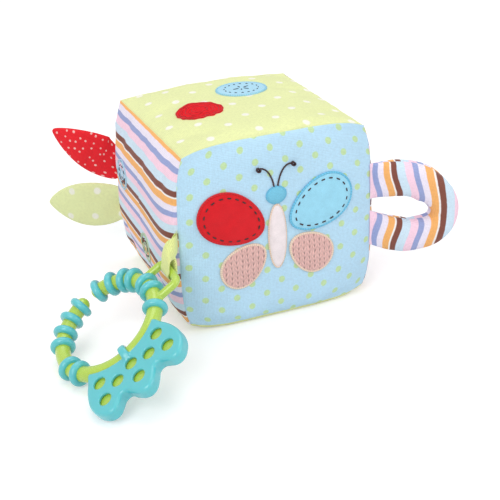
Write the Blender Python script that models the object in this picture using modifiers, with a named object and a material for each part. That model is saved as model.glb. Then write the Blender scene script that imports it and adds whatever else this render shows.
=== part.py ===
"""Soft fabric activity block: six sewn panels round a stuffed core with a rattle, an applique butterfly
on the front, two patches on top, a stuffed U handle, two crinkle leaves and a ring teether on a ribbon.

Frame: +Z up, origin on the underside at the block's centre, front panel facing -Y. Lengths in metres."""
import math

import bmesh
import bpy
from mathutils import Matrix, Vector

mm = 0.001
weld_distance = 0.01 * mm
sharp_edge_angle = math.radians(40)

# Block, from seam corner to seam corner; the stuffing bows its seams and puffs its panels out from there
block_width = 112.6 * mm
block_depth = 110.6 * mm
block_height = 100.9 * mm
corner_lift = 8.3 * mm
side_bow = 4.9 * mm
top_bow = 3.8 * mm
depth_bow = 2.3 * mm
side_puff = 2 * mm
top_puff = 2.4 * mm
bow_power = 4.6
lift_power = 2.5
flat_share = 0.5
cloth = 1.4 * mm
sewn_gap = 0.3 * mm
panel_cells = 12
filling_cells = 6

# Rattle in the middle of the filling
rattle_radius = 20 * mm
rattle_wall = 1.6 * mm
shell_sides = 16
shell_rings = 10
bead_radius = 3.5 * mm
bead_sides = 10
bead_rings = 6
bead_count = 3
bead_lean = math.radians(18)

# Applique butterfly on the front panel: centre of the motif, then each piece from that centre
motif_across = -3 * mm
motif_height = 57 * mm
felt = 1.2 * mm
fleece = 2 * mm
wing_length = 42 * mm
wing_width = 30 * mm
wing_out = 27.5 * mm
wing_up = 12.5 * mm
wing_angle = math.radians(28)
knit_length = 30 * mm
knit_width = 23 * mm
knit_out = 21 * mm
knit_down = 17 * mm
knit_angle = math.radians(-38)
egg_taper_share = 0.18
piece_sides = 20
body_length = 40 * mm
body_width = 11 * mm
body_down = 3 * mm
head_width = 12 * mm
head_height = 10 * mm
head_gap = 0.6 * mm

# Round patches on the top panel
red_patch_place_shares = (-0.235, -0.063)
red_patch_size = 27.5 * mm
blue_patch_place_shares = (0.093, 0.165)
blue_patch_width = 32.5 * mm
blue_patch_depth = 28 * mm
patch_thickness = 1 * mm

# Stuffed U handle in the front right seam
handle_reach = 55.8 * mm
handle_height = 58.7 * mm
handle_arm_width = 22.4 * mm
handle_end_width = 18.3 * mm
handle_end_length = 35.5 * mm
handle_hole_end_length = 18 * mm
handle_pinch = 2.6 * mm
handle_thickness = 15 * mm
handle_root_thickness = 3.4 * mm
handle_swell_length = 20 * mm
handle_mid_height = 58.2 * mm
handle_droop_share = 0.22
handle_turn = math.radians(-6)
handle_cloth = 1.2 * mm
handle_squareness = 0.8
handle_filling_share = 0.04
handle_rows = 24
handle_sides = 10
seam_clearance = 0.6 * mm

# Leaf tags in the back left seam: heights are those of the root's middle
leaf_ply = 0.8 * mm
leaf_film = 0.4 * mm
leaf_puff = 1.6 * mm
leaf_bend = 3 * mm
leaf_root_half = 11 * mm
leaf_tip_half = 0.5 * mm
leaf_film_share = 0.9
leaf_fullness = 0.65
leaf_root_share = 0.3
red_leaf_height = 68.2 * mm
red_leaf_swell = 5.7 * mm
red_leaf_belly = 0.9
red_leaf_length = 44.3 * mm
red_leaf_rise = math.radians(28.3)
red_leaf_turn = math.radians(151)
green_leaf_height = 38.7 * mm
green_leaf_swell = 8.5 * mm
green_leaf_belly = 1.16
green_leaf_length = 50.3 * mm
green_leaf_rise = math.radians(-5)
green_leaf_turn = math.radians(139)
leaf_rows = 8
leaf_columns = 4

# Ring teether: its ring lies in the X-Y plane of its own frame, whose X axis runs along the bar that
# hangs in the ribbon and whose Y axis points from the bar to the ring
ring_radius = 30.4 * mm
rod_radius = 4.4 * mm
ring_gap = 3.8 * mm
ring_lip_share = 0.6
ring_lip_step_share = 0.35
bar_radius = 2.4 * mm
bar_reach = 45 * mm
eye_half_width = 10.3 * mm
eye_corner = 3.5 * mm
eye_corner_steps = 4
rib_rise = 2.3 * mm
rib_half_width = 2.2 * mm
rib_steps = 12
rib_profile_steps = 5
rib_angles = [math.radians(a) for a in (102, 119.5, 136, 149, 170.5, 184.5, 210, 76, 59, 42, 25, -11.5, -29)]
ring_points = 34
tube_resolution = 3
teether_turn = math.radians(89)
teether_lean = math.radians(34)
teether_roll = math.radians(-6.4)
bar_outward = 8.8 * mm
bar_ahead = 10.85 * mm
fit_gap = 0.3 * mm

# Butterfly grip moulded over the green plate that grows from the ring
grip_reach = 32.6 * mm
grip_half_span = 28.6 * mm
grip_half_thickness = 4 * mm
grip_round = 1.4 * mm
grip_centre_angle = math.radians(-90)
grip_half_angle = math.radians(42)
grip_outline_shares = [(0, 0.895), (0.25, 1.02), (0.53, 1.055), (0.74, 0.965), (0.86, 0.8), (0.85, 0.65),
                       (0.77, 0.54), (0.7, 0.44), (0.71, 0.35), (0.825, 0.26), (0.96, 0.13)]
plate_half_thickness = 1.1 * mm
plate_inset = 3 * mm
hole_radius = 3.7 * mm
hole_sides = 12
hole_middle_shares = [(0.3, 0), (0.65, 0)]
hole_side_shares = [(0.4, 0.37), (0.16, 0.68), (0.545, 0.735)]
band_rise = 2.6 * mm
band_sides = 14
cut_overrun = 1 * mm
rod_space_half_angle = math.radians(66)
rod_space_steps = 18

# Ribbon loop in the front left seam
ribbon_width = 11 * mm
ribbon_thickness = 0.8 * mm
ribbon_height = 61.5 * mm
ribbon_shift = 1.2 * mm
ribbon_run_rows = 6
ribbon_wrap_rows = 8
ribbon_columns = 3

half_width = block_width / 2
half_depth = block_depth / 2
half_sizes = (half_width, half_depth, block_height / 2)
seam_x = half_width + side_bow
seam_y = half_depth + depth_bow / 2
stuffed_height = corner_lift + block_height + top_bow + top_puff
rattle_height = stuffed_height / 2

colours = {
    "blue_dotted_cotton": ((0.45, 0.72, 0.93), 0.9),
    "green_dotted_cotton": ((0.75, 0.87, 0.4), 0.9),
    "striped_cotton": ((0.8, 0.7, 0.75), 0.9),
    "red_dotted_cotton": ((0.75, 0.02, 0.03), 0.9),
    "red_felt": ((0.75, 0.02, 0.03), 0.95),
    "blue_felt": ((0.35, 0.72, 0.86), 0.95),
    "brown_knit": ((0.6, 0.38, 0.35), 0.95),
    "pale_fleece": ((0.9, 0.8, 0.8), 1),
    "red_thread": ((0.75, 0.03, 0.04), 0.6),
    "pale_blue_thread": ((0.6, 0.8, 0.9), 0.6),
    "lime_ribbon": ((0.7, 0.8, 0.25), 0.7),
    "green_plastic": ((0.43, 0.68, 0.06), 0.3),
    "turquoise_rubber": ((0.09, 0.56, 0.65), 0.4),
    "polyester_fibre": ((0.9, 0.9, 0.88), 1),
    "crinkle_film": ((0.85, 0.85, 0.85), 0.3),
    "clear_plastic": ((0.8, 0.85, 0.9), 0.2),
    "bead_plastic": ((0.9, 0.5, 0.1), 0.3),
}


def clear_scene():
    for old in list(bpy.data.objects):
        bpy.data.objects.remove(old)


def new_collection(name):
    collection = bpy.data.collections.new(name)
    bpy.context.scene.collection.children.link(collection)
    return collection


def material(name):
    found = bpy.data.materials.get(name)
    if found:
        return found
    colour, roughness = colours[name]
    made = bpy.data.materials.new(name)
    made.use_nodes = True
    shader = made.node_tree.nodes["Principled BSDF"]
    shader.inputs["Base Color"].default_value = (*colour, 1)
    shader.inputs["Roughness"].default_value = roughness
    shader.inputs["Metallic"].default_value = 0
    return made


def add_part(name, mesh, material_name, parent=None):
    part = bpy.data.objects.new(name, mesh)
    parts.objects.link(part)
    mesh.materials.append(material(material_name))
    mesh.shade_smooth()
    mesh.set_sharp_from_angle(angle=sharp_edge_angle)
    part.parent = parent
    return part


def add_cutter(name, mesh, parent=None):
    cutter = bpy.data.objects.new(name, mesh)
    cutters.objects.link(cutter)
    cutter.parent = parent
    cutter.hide_render = True
    cutter.display_type = "WIRE"
    return cutter


def add_frame(name, location, rotation):
    frame = bpy.data.objects.new(name, None)
    parts.objects.link(frame)
    frame.location = location
    frame.rotation_euler = rotation.to_euler()
    return frame


def finish_mesh(name, bm):
    bmesh.ops.recalc_face_normals(bm, faces=bm.faces)
    if bm.calc_volume(signed=True) < 0:
        bmesh.ops.reverse_faces(bm, faces=bm.faces)
    mesh = bpy.data.meshes.new(name)
    bm.to_mesh(mesh)
    bm.free()
    return mesh


def thicken(bm, place):
    """Makes a flat sheet a closed slab; place(u, v, layer) gives each point, layer 0 under and 1 over."""
    made = bmesh.ops.extrude_face_region(bm, geom=list(bm.faces))["geom"]
    for item in made:
        if isinstance(item, bmesh.types.BMVert):
            item.co.z = 1
    for vertex in bm.verts:
        vertex.co = place(*vertex.co)


def slab_mesh(name, columns, rows, place):
    bm = bmesh.new()
    bmesh.ops.create_grid(bm, x_segments=columns, y_segments=rows, size=1)
    thicken(bm, place)
    return finish_mesh(name, bm)


def disc_mesh(name, segments, place):
    bm = bmesh.new()
    bmesh.ops.create_circle(bm, cap_ends=True, cap_tris=True, segments=segments, radius=1)
    spokes = [edge for edge in bm.edges if min(vertex.co.length for vertex in edge.verts) < 0.5]
    bmesh.ops.subdivide_edges(bm, edges=spokes, cuts=1)
    thicken(bm, place)
    return finish_mesh(name, bm)


def welded(curve_part):
    """The mesh of a curve object, with its caps welded on; the curve itself goes."""
    graph = bpy.context.evaluated_depsgraph_get()
    mesh = bpy.data.meshes.new_from_object(curve_part.evaluated_get(graph))
    bpy.data.objects.remove(curve_part)
    bm = bmesh.new()
    bm.from_mesh(mesh)
    bmesh.ops.remove_doubles(bm, verts=bm.verts, dist=weld_distance)
    bmesh.ops.recalc_face_normals(bm, faces=bm.faces)
    bm.to_mesh(mesh)
    bm.free()
    mesh.materials.clear()
    return mesh


def tube_mesh(name, points, radius, radius_shares=None, cyclic=False):
    curve = bpy.data.curves.new(name, "CURVE")
    curve.dimensions = "3D"
    curve.bevel_depth = radius
    curve.bevel_resolution = tube_resolution
    curve.use_fill_caps = True
    spline = curve.splines.new("POLY")
    spline.points.add(len(points) - 1)
    spline.use_cyclic_u = cyclic
    for index, point in enumerate(points):
        spline.points[index].co = (*point, 1)
        spline.points[index].radius = radius_shares[index] if radius_shares else 1
    carrier = bpy.data.objects.new(name, curve)
    bpy.context.scene.collection.objects.link(carrier)
    return welded(carrier)


def outline_mesh(name, points, half_thickness, round_edge, inset):
    curve = bpy.data.curves.new(name, "CURVE")
    curve.dimensions = "2D"
    curve.fill_mode = "BOTH"
    curve.extrude = half_thickness - round_edge
    curve.bevel_depth = round_edge
    curve.bevel_resolution = 1
    curve.offset = -inset - round_edge
    curve.resolution_u = 2
    spline = curve.splines.new("BEZIER")
    spline.bezier_points.add(len(points) - 1)
    spline.use_cyclic_u = True
    for bezier, point in zip(spline.bezier_points, points):
        bezier.co = (*point, 0)
        bezier.handle_left_type = "AUTO"
        bezier.handle_right_type = "AUTO"
    carrier = bpy.data.objects.new(name, curve)
    bpy.context.scene.collection.objects.link(carrier)
    return welded(carrier)


def turned_part(name, profile, steps, material_name, parent):
    """A closed profile of (radius, height) points turned about Z."""
    bm = bmesh.new()
    corners = [bm.verts.new((radius, 0, height)) for radius, height in profile]
    for start, end in zip(corners, corners[1:] + corners[:1]):
        bm.edges.new((start, end))
    mesh = bpy.data.meshes.new(name)
    bm.to_mesh(mesh)
    bm.free()
    part = add_part(name, mesh, material_name, parent)
    screw = part.modifiers.new("turn", "SCREW")
    screw.steps = steps
    screw.render_steps = steps
    screw.use_merge_vertices = True
    screw.merge_threshold = weld_distance
    screw.use_smooth_shade = True
    return part


def combine(part, other, operation):
    boolean = part.modifiers.new(other.name, "BOOLEAN")
    boolean.operation = operation
    boolean.object = other


def smooth_step(value):
    value = min(max(value, 0), 1)
    return value * value * (3 - 2 * value)


def bow(share):
    """How far the stuffing pushes out at a share of the way from a panel's middle to its seam."""
    return 1 - abs(share) ** bow_power


def top_height(a, b):
    return corner_lift + block_height + (top_bow + top_puff * bow(b)) * bow(a)


def underside_height(a):
    """Flat where the block stands, and rising to the side panels."""
    return corner_lift * max(0, (abs(a) - flat_share) / (1 - flat_share)) ** lift_power


def pillow(a, b, c):
    """The point of the stuffed block at shares -1 to 1 of its half sizes."""
    x = a * (half_width + (side_bow + side_puff * bow(b)) * bow(c))
    y = b * (half_depth + depth_bow * (bow(a) + bow(c)) / 2 + side_puff * bow(a) * bow(c))
    low = underside_height(a)
    return Vector((x, y, low + (c + 1) / 2 * (top_height(a, b) - low)))


def panel(name, axis, side, material_name):
    """One cloth panel, mitred against its four neighbours along the seams."""
    across = (axis + 1) % 3
    along = (axis + 2) % 3

    def place(u, v, layer):
        depth = cloth * (1 - layer)
        shares = [0, 0, 0]
        shares[axis] = side * (1 - depth / half_sizes[axis])
        shares[across] = u * (1 - (depth + sewn_gap) / half_sizes[across])
        shares[along] = v * (1 - (depth + sewn_gap) / half_sizes[along])
        return pillow(*shares)

    return add_part(name, slab_mesh(name, panel_cells, panel_cells, place), material_name)


def filling_half(name, low, high):
    """Stuffing between two level shares of the block's height, clear of the cloth."""
    inner = cloth + sewn_gap
    bm = bmesh.new()
    bmesh.ops.create_cube(bm, size=2)
    bmesh.ops.subdivide_edges(bm, edges=bm.edges, cuts=filling_cells - 1, use_grid_fill=True)
    for vertex in bm.verts:
        u, v, w = vertex.co
        vertex.co = pillow(
            u * (1 - inner / half_sizes[0]),
            v * (1 - inner / half_sizes[1]),
            low + (w + 1) / 2 * (high - low),
        )
    part = add_part(name, finish_mesh(name, bm), "polyester_fibre")
    combine(part, rattle_pocket, "DIFFERENCE")
    return part


def half_sphere(name, side):
    bm = bmesh.new()
    bmesh.ops.create_uvsphere(bm, u_segments=shell_sides, v_segments=shell_rings, radius=rattle_radius)
    gone = [vertex for vertex in bm.verts if vertex.co.z * side < -sewn_gap]
    bmesh.ops.delete(bm, geom=gone, context="VERTS")
    for item in bmesh.ops.extrude_face_region(bm, geom=list(bm.faces))["geom"]:
        if isinstance(item, bmesh.types.BMVert):
            item.co *= 1 - rattle_wall / rattle_radius
    part = add_part(name, finish_mesh(name, bm), "clear_plastic")
    part.location = (0, 0, rattle_height + side * sewn_gap / 2)


def make_rattle():
    half_sphere("rattle_shell_lower", -1)
    half_sphere("rattle_shell_upper", 1)
    path = rattle_radius - rattle_wall - bead_radius - sewn_gap
    for index in range(bead_count):
        turn = math.tau * index / bead_count
        name = f"rattle_bead_{index + 1}"
        bm = bmesh.new()
        bmesh.ops.create_uvsphere(bm, u_segments=bead_sides, v_segments=bead_rings, radius=bead_radius)
        bead = add_part(name, finish_mesh(name, bm), "bead_plastic")
        bead.location = (
            path * math.sin(bead_lean) * math.cos(turn),
            path * math.sin(bead_lean) * math.sin(turn),
            rattle_height - sewn_gap / 2 - path * math.cos(bead_lean),
        )


def front_point(across, height, outward):
    """A point that lies outward of the front panel, from its place on the panel's flat drawing."""
    c = 2 * height / top_height(0, -1) - 1
    a = across / (half_width + side_bow * bow(c))
    low = underside_height(a)
    c = 2 * (height - low) / (top_height(a, -1) - low) - 1
    return pillow(a, -1, c) - Vector((0, outward, 0))


def top_point(across, back, outward):
    a = across / half_width
    b = back / (half_depth + depth_bow * bow(a) / 2)
    return pillow(a, b, 1) + Vector((0, 0, outward))


def egg_piece(name, drawing_point, centre, size, taper_share, angle, thickness, material_name):
    """An egg-shaped slab laid on a panel."""
    def place(u, v, layer):
        along = size[0] / 2 * u
        aside = size[1] / 2 * v * (1 + taper_share * u)
        across = centre[0] + along * math.cos(angle) - aside * math.sin(angle)
        up = centre[1] + along * math.sin(angle) + aside * math.cos(angle)
        return drawing_point(across, up, sewn_gap + thickness * layer)

    return add_part(name, disc_mesh(name, piece_sides, place), material_name)


def make_butterfly():
    for name, side, cloth_name in (("red_wing", -1, "red_felt"), ("blue_wing", 1, "blue_felt")):
        egg_piece(
            name, front_point, (motif_across + side * wing_out, motif_height + wing_up),
            (side * wing_length, wing_width), egg_taper_share, side * wing_angle, felt, cloth_name)
    for name, side in (("knit_wing_left", -1), ("knit_wing_right", 1)):
        egg_piece(
            name, front_point, (motif_across + side * knit_out, motif_height - knit_down),
            (side * knit_length, knit_width), egg_taper_share, side * knit_angle, felt, "brown_knit")
    body_middle = motif_height - body_down
    egg_piece(
        "fleece_body", front_point, (motif_across, body_middle),
        (body_length, body_width), 0, math.radians(90), fleece, "pale_fleece")
    head_middle = body_middle + (body_length + head_height) / 2 + head_gap
    egg_piece(
        "butterfly_head", front_point, (motif_across, head_middle),
        (head_width, head_height), 0, 0, felt, "blue_felt")


def patch_place(place_shares):
    return block_width * place_shares[0], block_depth * place_shares[1]


def make_patches():
    egg_piece(
        "red_patch", top_point, patch_place(red_patch_place_shares),
        (red_patch_size, red_patch_size), 0, 0, patch_thickness, "red_thread")
    egg_piece(
        "blue_patch", top_point, patch_place(blue_patch_place_shares),
        (blue_patch_width, blue_patch_depth), 0, 0, patch_thickness, "pale_blue_thread")


def handle_edge(share, half_height, reach, end_length):
    """A point on the U's outer or inner edge: two arms, pinched together at the seam, and a rounded end."""
    side = 1 - 2 * share
    arm = reach - end_length
    if abs(side) > 0.5:
        out = 2 * (1 - abs(side))
        height = half_height - handle_pinch * (1 - out) ** 2
        return Vector((seam_clearance + (arm - seam_clearance) * out, 0, math.copysign(height, side)))
    angle = math.pi * side
    return Vector((arm + end_length * math.cos(angle), 0, half_height * math.sin(angle)))


def squared(value):
    """Makes a circle's sine or cosine that of a rounder-cornered square."""
    return math.copysign(abs(value) ** handle_squareness, value)


def handle_point(share, around, inset):
    outer = handle_edge(share, handle_height / 2, handle_reach, handle_end_length)
    inner = handle_edge(
        share, handle_height / 2 - handle_arm_width, handle_reach - handle_end_width, handle_hole_end_length)
    middle = (outer + inner) / 2
    half = (outer - inner) / 2
    swell = math.sqrt(min(1, (middle.x - seam_clearance) / handle_swell_length))
    thickness = handle_root_thickness + (handle_thickness - handle_root_thickness) * swell
    middle.z += handle_mid_height - handle_droop_share * middle.x
    wide = squared(math.cos(around)) * (half.length - inset)
    deep = squared(math.sin(around)) * (thickness / 2 - inset)
    return middle + half.normalized() * wide + Vector((0, deep, 0))


def handle_mesh(name, start_share, outer_inset, wall):
    """A tube along the U; with no wall it is solid."""
    bm = bmesh.new()
    bmesh.ops.create_grid(bm, x_segments=handle_rows, y_segments=handle_sides, size=0.5)
    for vertex in bm.verts:
        around = math.tau * vertex.co.y
        vertex.co = (math.cos(around), math.sin(around), vertex.co.x)
    bmesh.ops.remove_doubles(bm, verts=bm.verts, dist=weld_distance)
    if wall:
        made = bmesh.ops.extrude_face_region(bm, geom=list(bm.faces))["geom"]
        inner = {item for item in made if isinstance(item, bmesh.types.BMVert)}
    else:
        bmesh.ops.holes_fill(bm, edges=[edge for edge in bm.edges if edge.is_boundary])
        inner = set()
    for vertex in bm.verts:
        around = math.atan2(vertex.co.y, vertex.co.x)
        share = start_share + (1 - 2 * start_share) * (vertex.co.z + 0.5)
        vertex.co = handle_point(share, around, outer_inset + (wall if vertex in inner else 0))
    return finish_mesh(name, bm)


def make_handle():
    frame = add_frame("handle_seam", (seam_x, -seam_y, 0), Matrix.Rotation(handle_turn, 3, "Z"))
    add_part("handle_cover", handle_mesh("handle_cover", 0, 0, handle_cloth), "striped_cotton", frame)
    filling = handle_mesh("handle_filling", handle_filling_share, handle_cloth + sewn_gap, 0)
    add_part("handle_filling", filling, "polyester_fibre", frame)


def make_leaf(colour_name, cloth_name, height, length, widest_swell, belly, rise, turn):
    """Two cloth plies with a crinkle film between them, sewn along the outline and open at the seam."""
    frame = add_frame(colour_name + "_leaf_seam", (-seam_x, seam_y, 0), Matrix.Rotation(turn, 3, "Z"))
    forward = Vector((math.cos(rise), 0, math.sin(rise)))
    upward = Vector((-math.sin(rise), 0, math.cos(rise)))

    def sheet_point(share, across, lift):
        swell = widest_swell * max(0, math.sin(math.pi * share ** belly)) ** leaf_fullness
        half = leaf_root_half * (1 - share) + swell + leaf_tip_half
        turned = smooth_step(share / leaf_root_share)
        aside = (Vector((0, 0, 1 - turned)) + upward * turned).normalized()
        root = Vector((seam_clearance, 0, height))
        bend = Vector((0, leaf_bend * math.sin(math.pi * share), 0))
        return root + forward * (length * share) + aside * (half * across) + bend + Vector((0, lift, 0))

    def layer_part(name, low, high, across_share, puff_side, cloth_material):
        def place(u, v, layer):
            share = (u + 1) / 2
            puff = leaf_puff * (1 - v * v) * math.sin(math.pi * share) * puff_side
            return sheet_point(share, v * across_share, low + (high - low) * layer + puff)

        add_part(name, slab_mesh(name, leaf_rows, leaf_columns, place), cloth_material, frame)

    inside = leaf_film / 2 + sewn_gap
    layer_part(colour_name + "_leaf_front", inside, inside + leaf_ply, 1, 1, cloth_name)
    layer_part(colour_name + "_leaf_back", -inside - leaf_ply, -inside, 1, -1, cloth_name)
    layer_part(colour_name + "_leaf_film", -leaf_film / 2, leaf_film / 2, leaf_film_share, 0, "crinkle_film")


def ring_point(angle, radius):
    """A point in the teether's frame; the angle starts at the ring's far side and turns towards +X."""
    return Vector((radius * math.sin(angle), bar_reach + radius * math.cos(angle), 0))


def grip_point(reach_share, span_share):
    return Vector((-ring_radius - grip_reach * reach_share, bar_reach + grip_half_span * span_share))


def grip_outline():
    outer = [grip_point(*shares) for shares in grip_outline_shares]
    tip = [grip_point(1, 0)]
    other = [grip_point(reach, -span) for reach, span in reversed(grip_outline_shares)]
    inner_angles = [grip_centre_angle + grip_half_angle * step / 3 for step in range(-3, 4)]
    inner = [ring_point(angle, ring_radius).to_2d() for angle in inner_angles]
    return outer + tip + other + inner


def ring_path(half_gap_angle):
    """Angles along the ring from one rounded lip of its gap to the other, going round by the bar."""
    start = math.radians(90) + half_gap_angle
    end = start + math.tau - 2 * half_gap_angle
    step = (end - start) / (ring_points - 1)
    lip = step * ring_lip_step_share
    between = [start + step * index for index in range(1, ring_points - 1)]
    return [start, start + lip] + between + [end - lip, end]


def teether_rotation():
    turn = Matrix.Rotation(teether_turn, 3, "Z")
    lean = Matrix.Rotation(-teether_lean, 3, "X")
    roll = Matrix.Rotation(teether_roll, 3, "Y")
    return turn @ lean @ roll


def bar_place():
    """The bar's middle: as high as sets the ring's lowest rib, or the grip's lowest lobe, on the floor."""
    up = teether_rotation().transposed() @ Vector((0, 0, 1))
    rib_drop = ring_radius * math.hypot(up.x, up.y) - bar_reach * up.y + rod_radius + fit_gap + rib_rise
    grip_edge_drop = max(-up.to_2d().dot(point) for point in grip_outline())
    grip_face_drop = (grip_half_thickness - grip_round) * up.z
    grip_drop = grip_edge_drop + grip_face_drop + grip_round * (1 - math.hypot(up.x, up.y))
    return Vector((-seam_x - bar_outward, -seam_y - bar_ahead, max(rib_drop, grip_drop)))


def eye_points():
    """The hanger's rod: out of the ring, along the bar with rounded corners, and back into the ring."""
    foot = bar_reach - math.sqrt(ring_radius ** 2 - eye_half_width ** 2)
    corner = [
        Vector((eye_half_width - eye_corner * (1 - math.sin(a)), eye_corner * (1 - math.cos(a)), 0))
        for a in (math.radians(90) * (1 - step / eye_corner_steps) for step in range(eye_corner_steps + 1))
    ]
    side = [Vector((eye_half_width, foot, 0))] + corner
    return side + [Vector((-point.x, point.y, 0)) for point in reversed(side)]


def make_teether():
    frame = add_frame("teether_bar", bar_place(), teether_rotation())
    half_gap = math.asin(ring_gap / 2 / ring_radius)
    angles = ring_path(half_gap)
    points = [ring_point(angle, ring_radius) for angle in angles]
    shares = [ring_lip_share] + [1] * (len(points) - 2) + [ring_lip_share]

    rod = tube_mesh("teether_core", points, rod_radius, shares)
    core = add_part("teether_core", rod, "green_plastic", frame)
    eye = add_cutter("eye_rod", tube_mesh("eye_rod", eye_points(), bar_radius), frame)
    plate = add_cutter(
        "plate", outline_mesh("plate", grip_outline(), plate_half_thickness, 0, plate_inset), frame)
    combine(core, eye, "UNION")
    combine(core, plate, "UNION")

    grip = add_part(
        "teether_grip",
        outline_mesh("teether_grip", grip_outline(), grip_half_thickness, grip_round, 0),
        "turquoise_rubber", frame)
    band = add_cutter("band", band_mesh(), frame)
    band.location = ring_point(grip_centre_angle, ring_radius)
    band.rotation_euler = (math.radians(90), 0, -grip_centre_angle + math.radians(90))
    space_shares = [2 * step / rod_space_steps - 1 for step in range(rod_space_steps + 1)]
    space_points = [
        ring_point(grip_centre_angle + rod_space_half_angle * share, ring_radius) for share in space_shares
    ]
    rod_space = add_cutter("rod_space", tube_mesh("rod_space", space_points, rod_radius + fit_gap), frame)
    plate_space = add_cutter(
        "plate_space", outline_mesh(
            "plate_space", grip_outline(), plate_half_thickness + fit_gap, 0, plate_inset - fit_gap), frame)
    holes = add_cutter("holes", hole_mesh(), frame)
    combine(grip, band, "UNION")
    for cutter in (rod_space, plate_space, holes):
        combine(grip, cutter, "DIFFERENCE")

    for index, angle in enumerate(rib_angles):
        rib = turned_part(
            f"teether_rib_{index + 1:02d}", rib_profile(), rib_steps, "turquoise_rubber", frame)
        rib.location = ring_point(angle, ring_radius)
        rib.rotation_euler = (math.radians(90), 0, math.radians(90) - angle)
    return frame


def rib_profile():
    """A bead's section: flat against the rod and round outside, from its top down the outer side."""
    bore = rod_radius + fit_gap
    outer = [math.radians(90 - 180 * step / rib_profile_steps) for step in range(rib_profile_steps + 1)]
    return [(bore + rib_rise * max(math.cos(a), 0), rib_half_width * math.sin(a)) for a in outer]


def band_mesh():
    radius = rod_radius + band_rise
    bm = bmesh.new()
    bmesh.ops.create_cone(
        bm, cap_ends=True, segments=band_sides, radius1=radius, radius2=radius, depth=2 * rib_half_width)
    return finish_mesh("band", bm)


def hole_mesh():
    """Round cutters through the grip, in the pattern of its windows."""
    bm = bmesh.new()
    centres = [grip_point(*shares) for shares in hole_middle_shares]
    for side in (-1, 1):
        centres += [grip_point(reach, span * side) for reach, span in hole_side_shares]
    for centre in centres:
        bmesh.ops.create_cone(
            bm, cap_ends=True, segments=hole_sides, radius1=hole_radius, radius2=hole_radius,
            depth=2 * (grip_half_thickness + cut_overrun), matrix=Matrix.Translation(centre.to_3d()))
    return finish_mesh("holes", bm)


def make_ribbon(bar_frame):
    """A ribbon doubled round the bar, its ends laid together in the seam and turned upright there."""
    rotation = teether_rotation()
    bar = bar_frame.location
    bar_axis = rotation @ Vector((1, 0, 0))
    reach = Vector((-seam_x, -seam_y, ribbon_height)) - bar
    root_shift = reach.dot(bar_axis)
    to_root = (reach - bar_axis * root_shift)
    root_run = to_root.length - seam_clearance - ribbon_thickness
    to_root.normalize()
    wrap_radius = bar_radius + fit_gap + ribbon_thickness / 2
    root_half = (ribbon_thickness + sewn_gap) / 2
    leave = math.acos(wrap_radius / math.hypot(root_run, root_half)) + math.atan2(root_half, root_run)

    run_share = ribbon_run_rows / (2 * ribbon_run_rows + ribbon_wrap_rows)

    def place(u, v, layer):
        share = (u + 1) / 2
        side = 1 if share < 0.5 else -1
        near = min(share, 1 - share) / run_share
        if near < 1:
            along = root_run + (wrap_radius * math.cos(leave) - root_run) * near
            aside = root_half + (wrap_radius * math.sin(leave) - root_half) * near
        else:
            turn = leave + (math.pi - leave) * (min(share, 1 - share) - run_share) / (0.5 - run_share)
            along = wrap_radius * math.cos(turn)
            aside = wrap_radius * math.sin(turn)
        upright = smooth_step(along / root_run)
        width = (bar_axis * (1 - upright) + Vector((0, 0, 1)) * upright).normalized()
        face = to_root.cross(width).normalized()
        shift = ribbon_shift + (root_shift - ribbon_shift) * max(along, 0) / root_run
        middle = bar + bar_axis * shift + to_root * along + face * (aside * side)
        if near < 1:
            outward = face * side
        else:
            outward = (to_root * along + face * (aside * side)).normalized()
        point = middle + width * (v * ribbon_width / 2) + outward * (ribbon_thickness * (layer - 0.5))
        return point - Vector(frame.location)

    frame = add_frame("ribbon_seam", (-seam_x, -seam_y, 0), Matrix.Identity(3))
    rows = 2 * ribbon_run_rows + ribbon_wrap_rows
    add_part("ribbon_loop", slab_mesh("ribbon_loop", rows, ribbon_columns, place), "lime_ribbon", frame)


clear_scene()
parts = new_collection("soft_fabric_block")
cutters = new_collection("cutters")

pocket = bmesh.new()
bmesh.ops.create_uvsphere(
    pocket, u_segments=shell_sides, v_segments=shell_rings, radius=rattle_radius + 2 * sewn_gap,
    matrix=Matrix.Translation((0, 0, rattle_height)))
rattle_pocket = add_cutter("rattle_pocket", finish_mesh("rattle_pocket", pocket))

panel("right_panel", 0, 1, "striped_cotton")
panel("left_panel", 0, -1, "striped_cotton")
panel("back_panel", 1, 1, "blue_dotted_cotton")
panel("front_panel", 1, -1, "blue_dotted_cotton")
panel("top_panel", 2, 1, "green_dotted_cotton")
panel("bottom_panel", 2, -1, "green_dotted_cotton")
filling_edge_share = 1 - (cloth + sewn_gap) / half_sizes[2]
filling_split_share = sewn_gap / block_height
filling_half("filling_lower", -filling_edge_share, -filling_split_share)
filling_half("filling_upper", filling_split_share, filling_edge_share)
make_rattle()
make_butterfly()
make_patches()
make_handle()
make_leaf(
    "red", "red_dotted_cotton",
    red_leaf_height, red_leaf_length, red_leaf_swell, red_leaf_belly, red_leaf_rise, red_leaf_turn)
make_leaf(
    "green", "green_dotted_cotton",
    green_leaf_height, green_leaf_length, green_leaf_swell, green_leaf_belly, green_leaf_rise, green_leaf_turn)
make_ribbon(make_teether())
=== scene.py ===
import math

import bpy
import numpy as np
from mathutils import Matrix, Vector, noise
from mathutils.bvhtree import BVHTree


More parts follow.
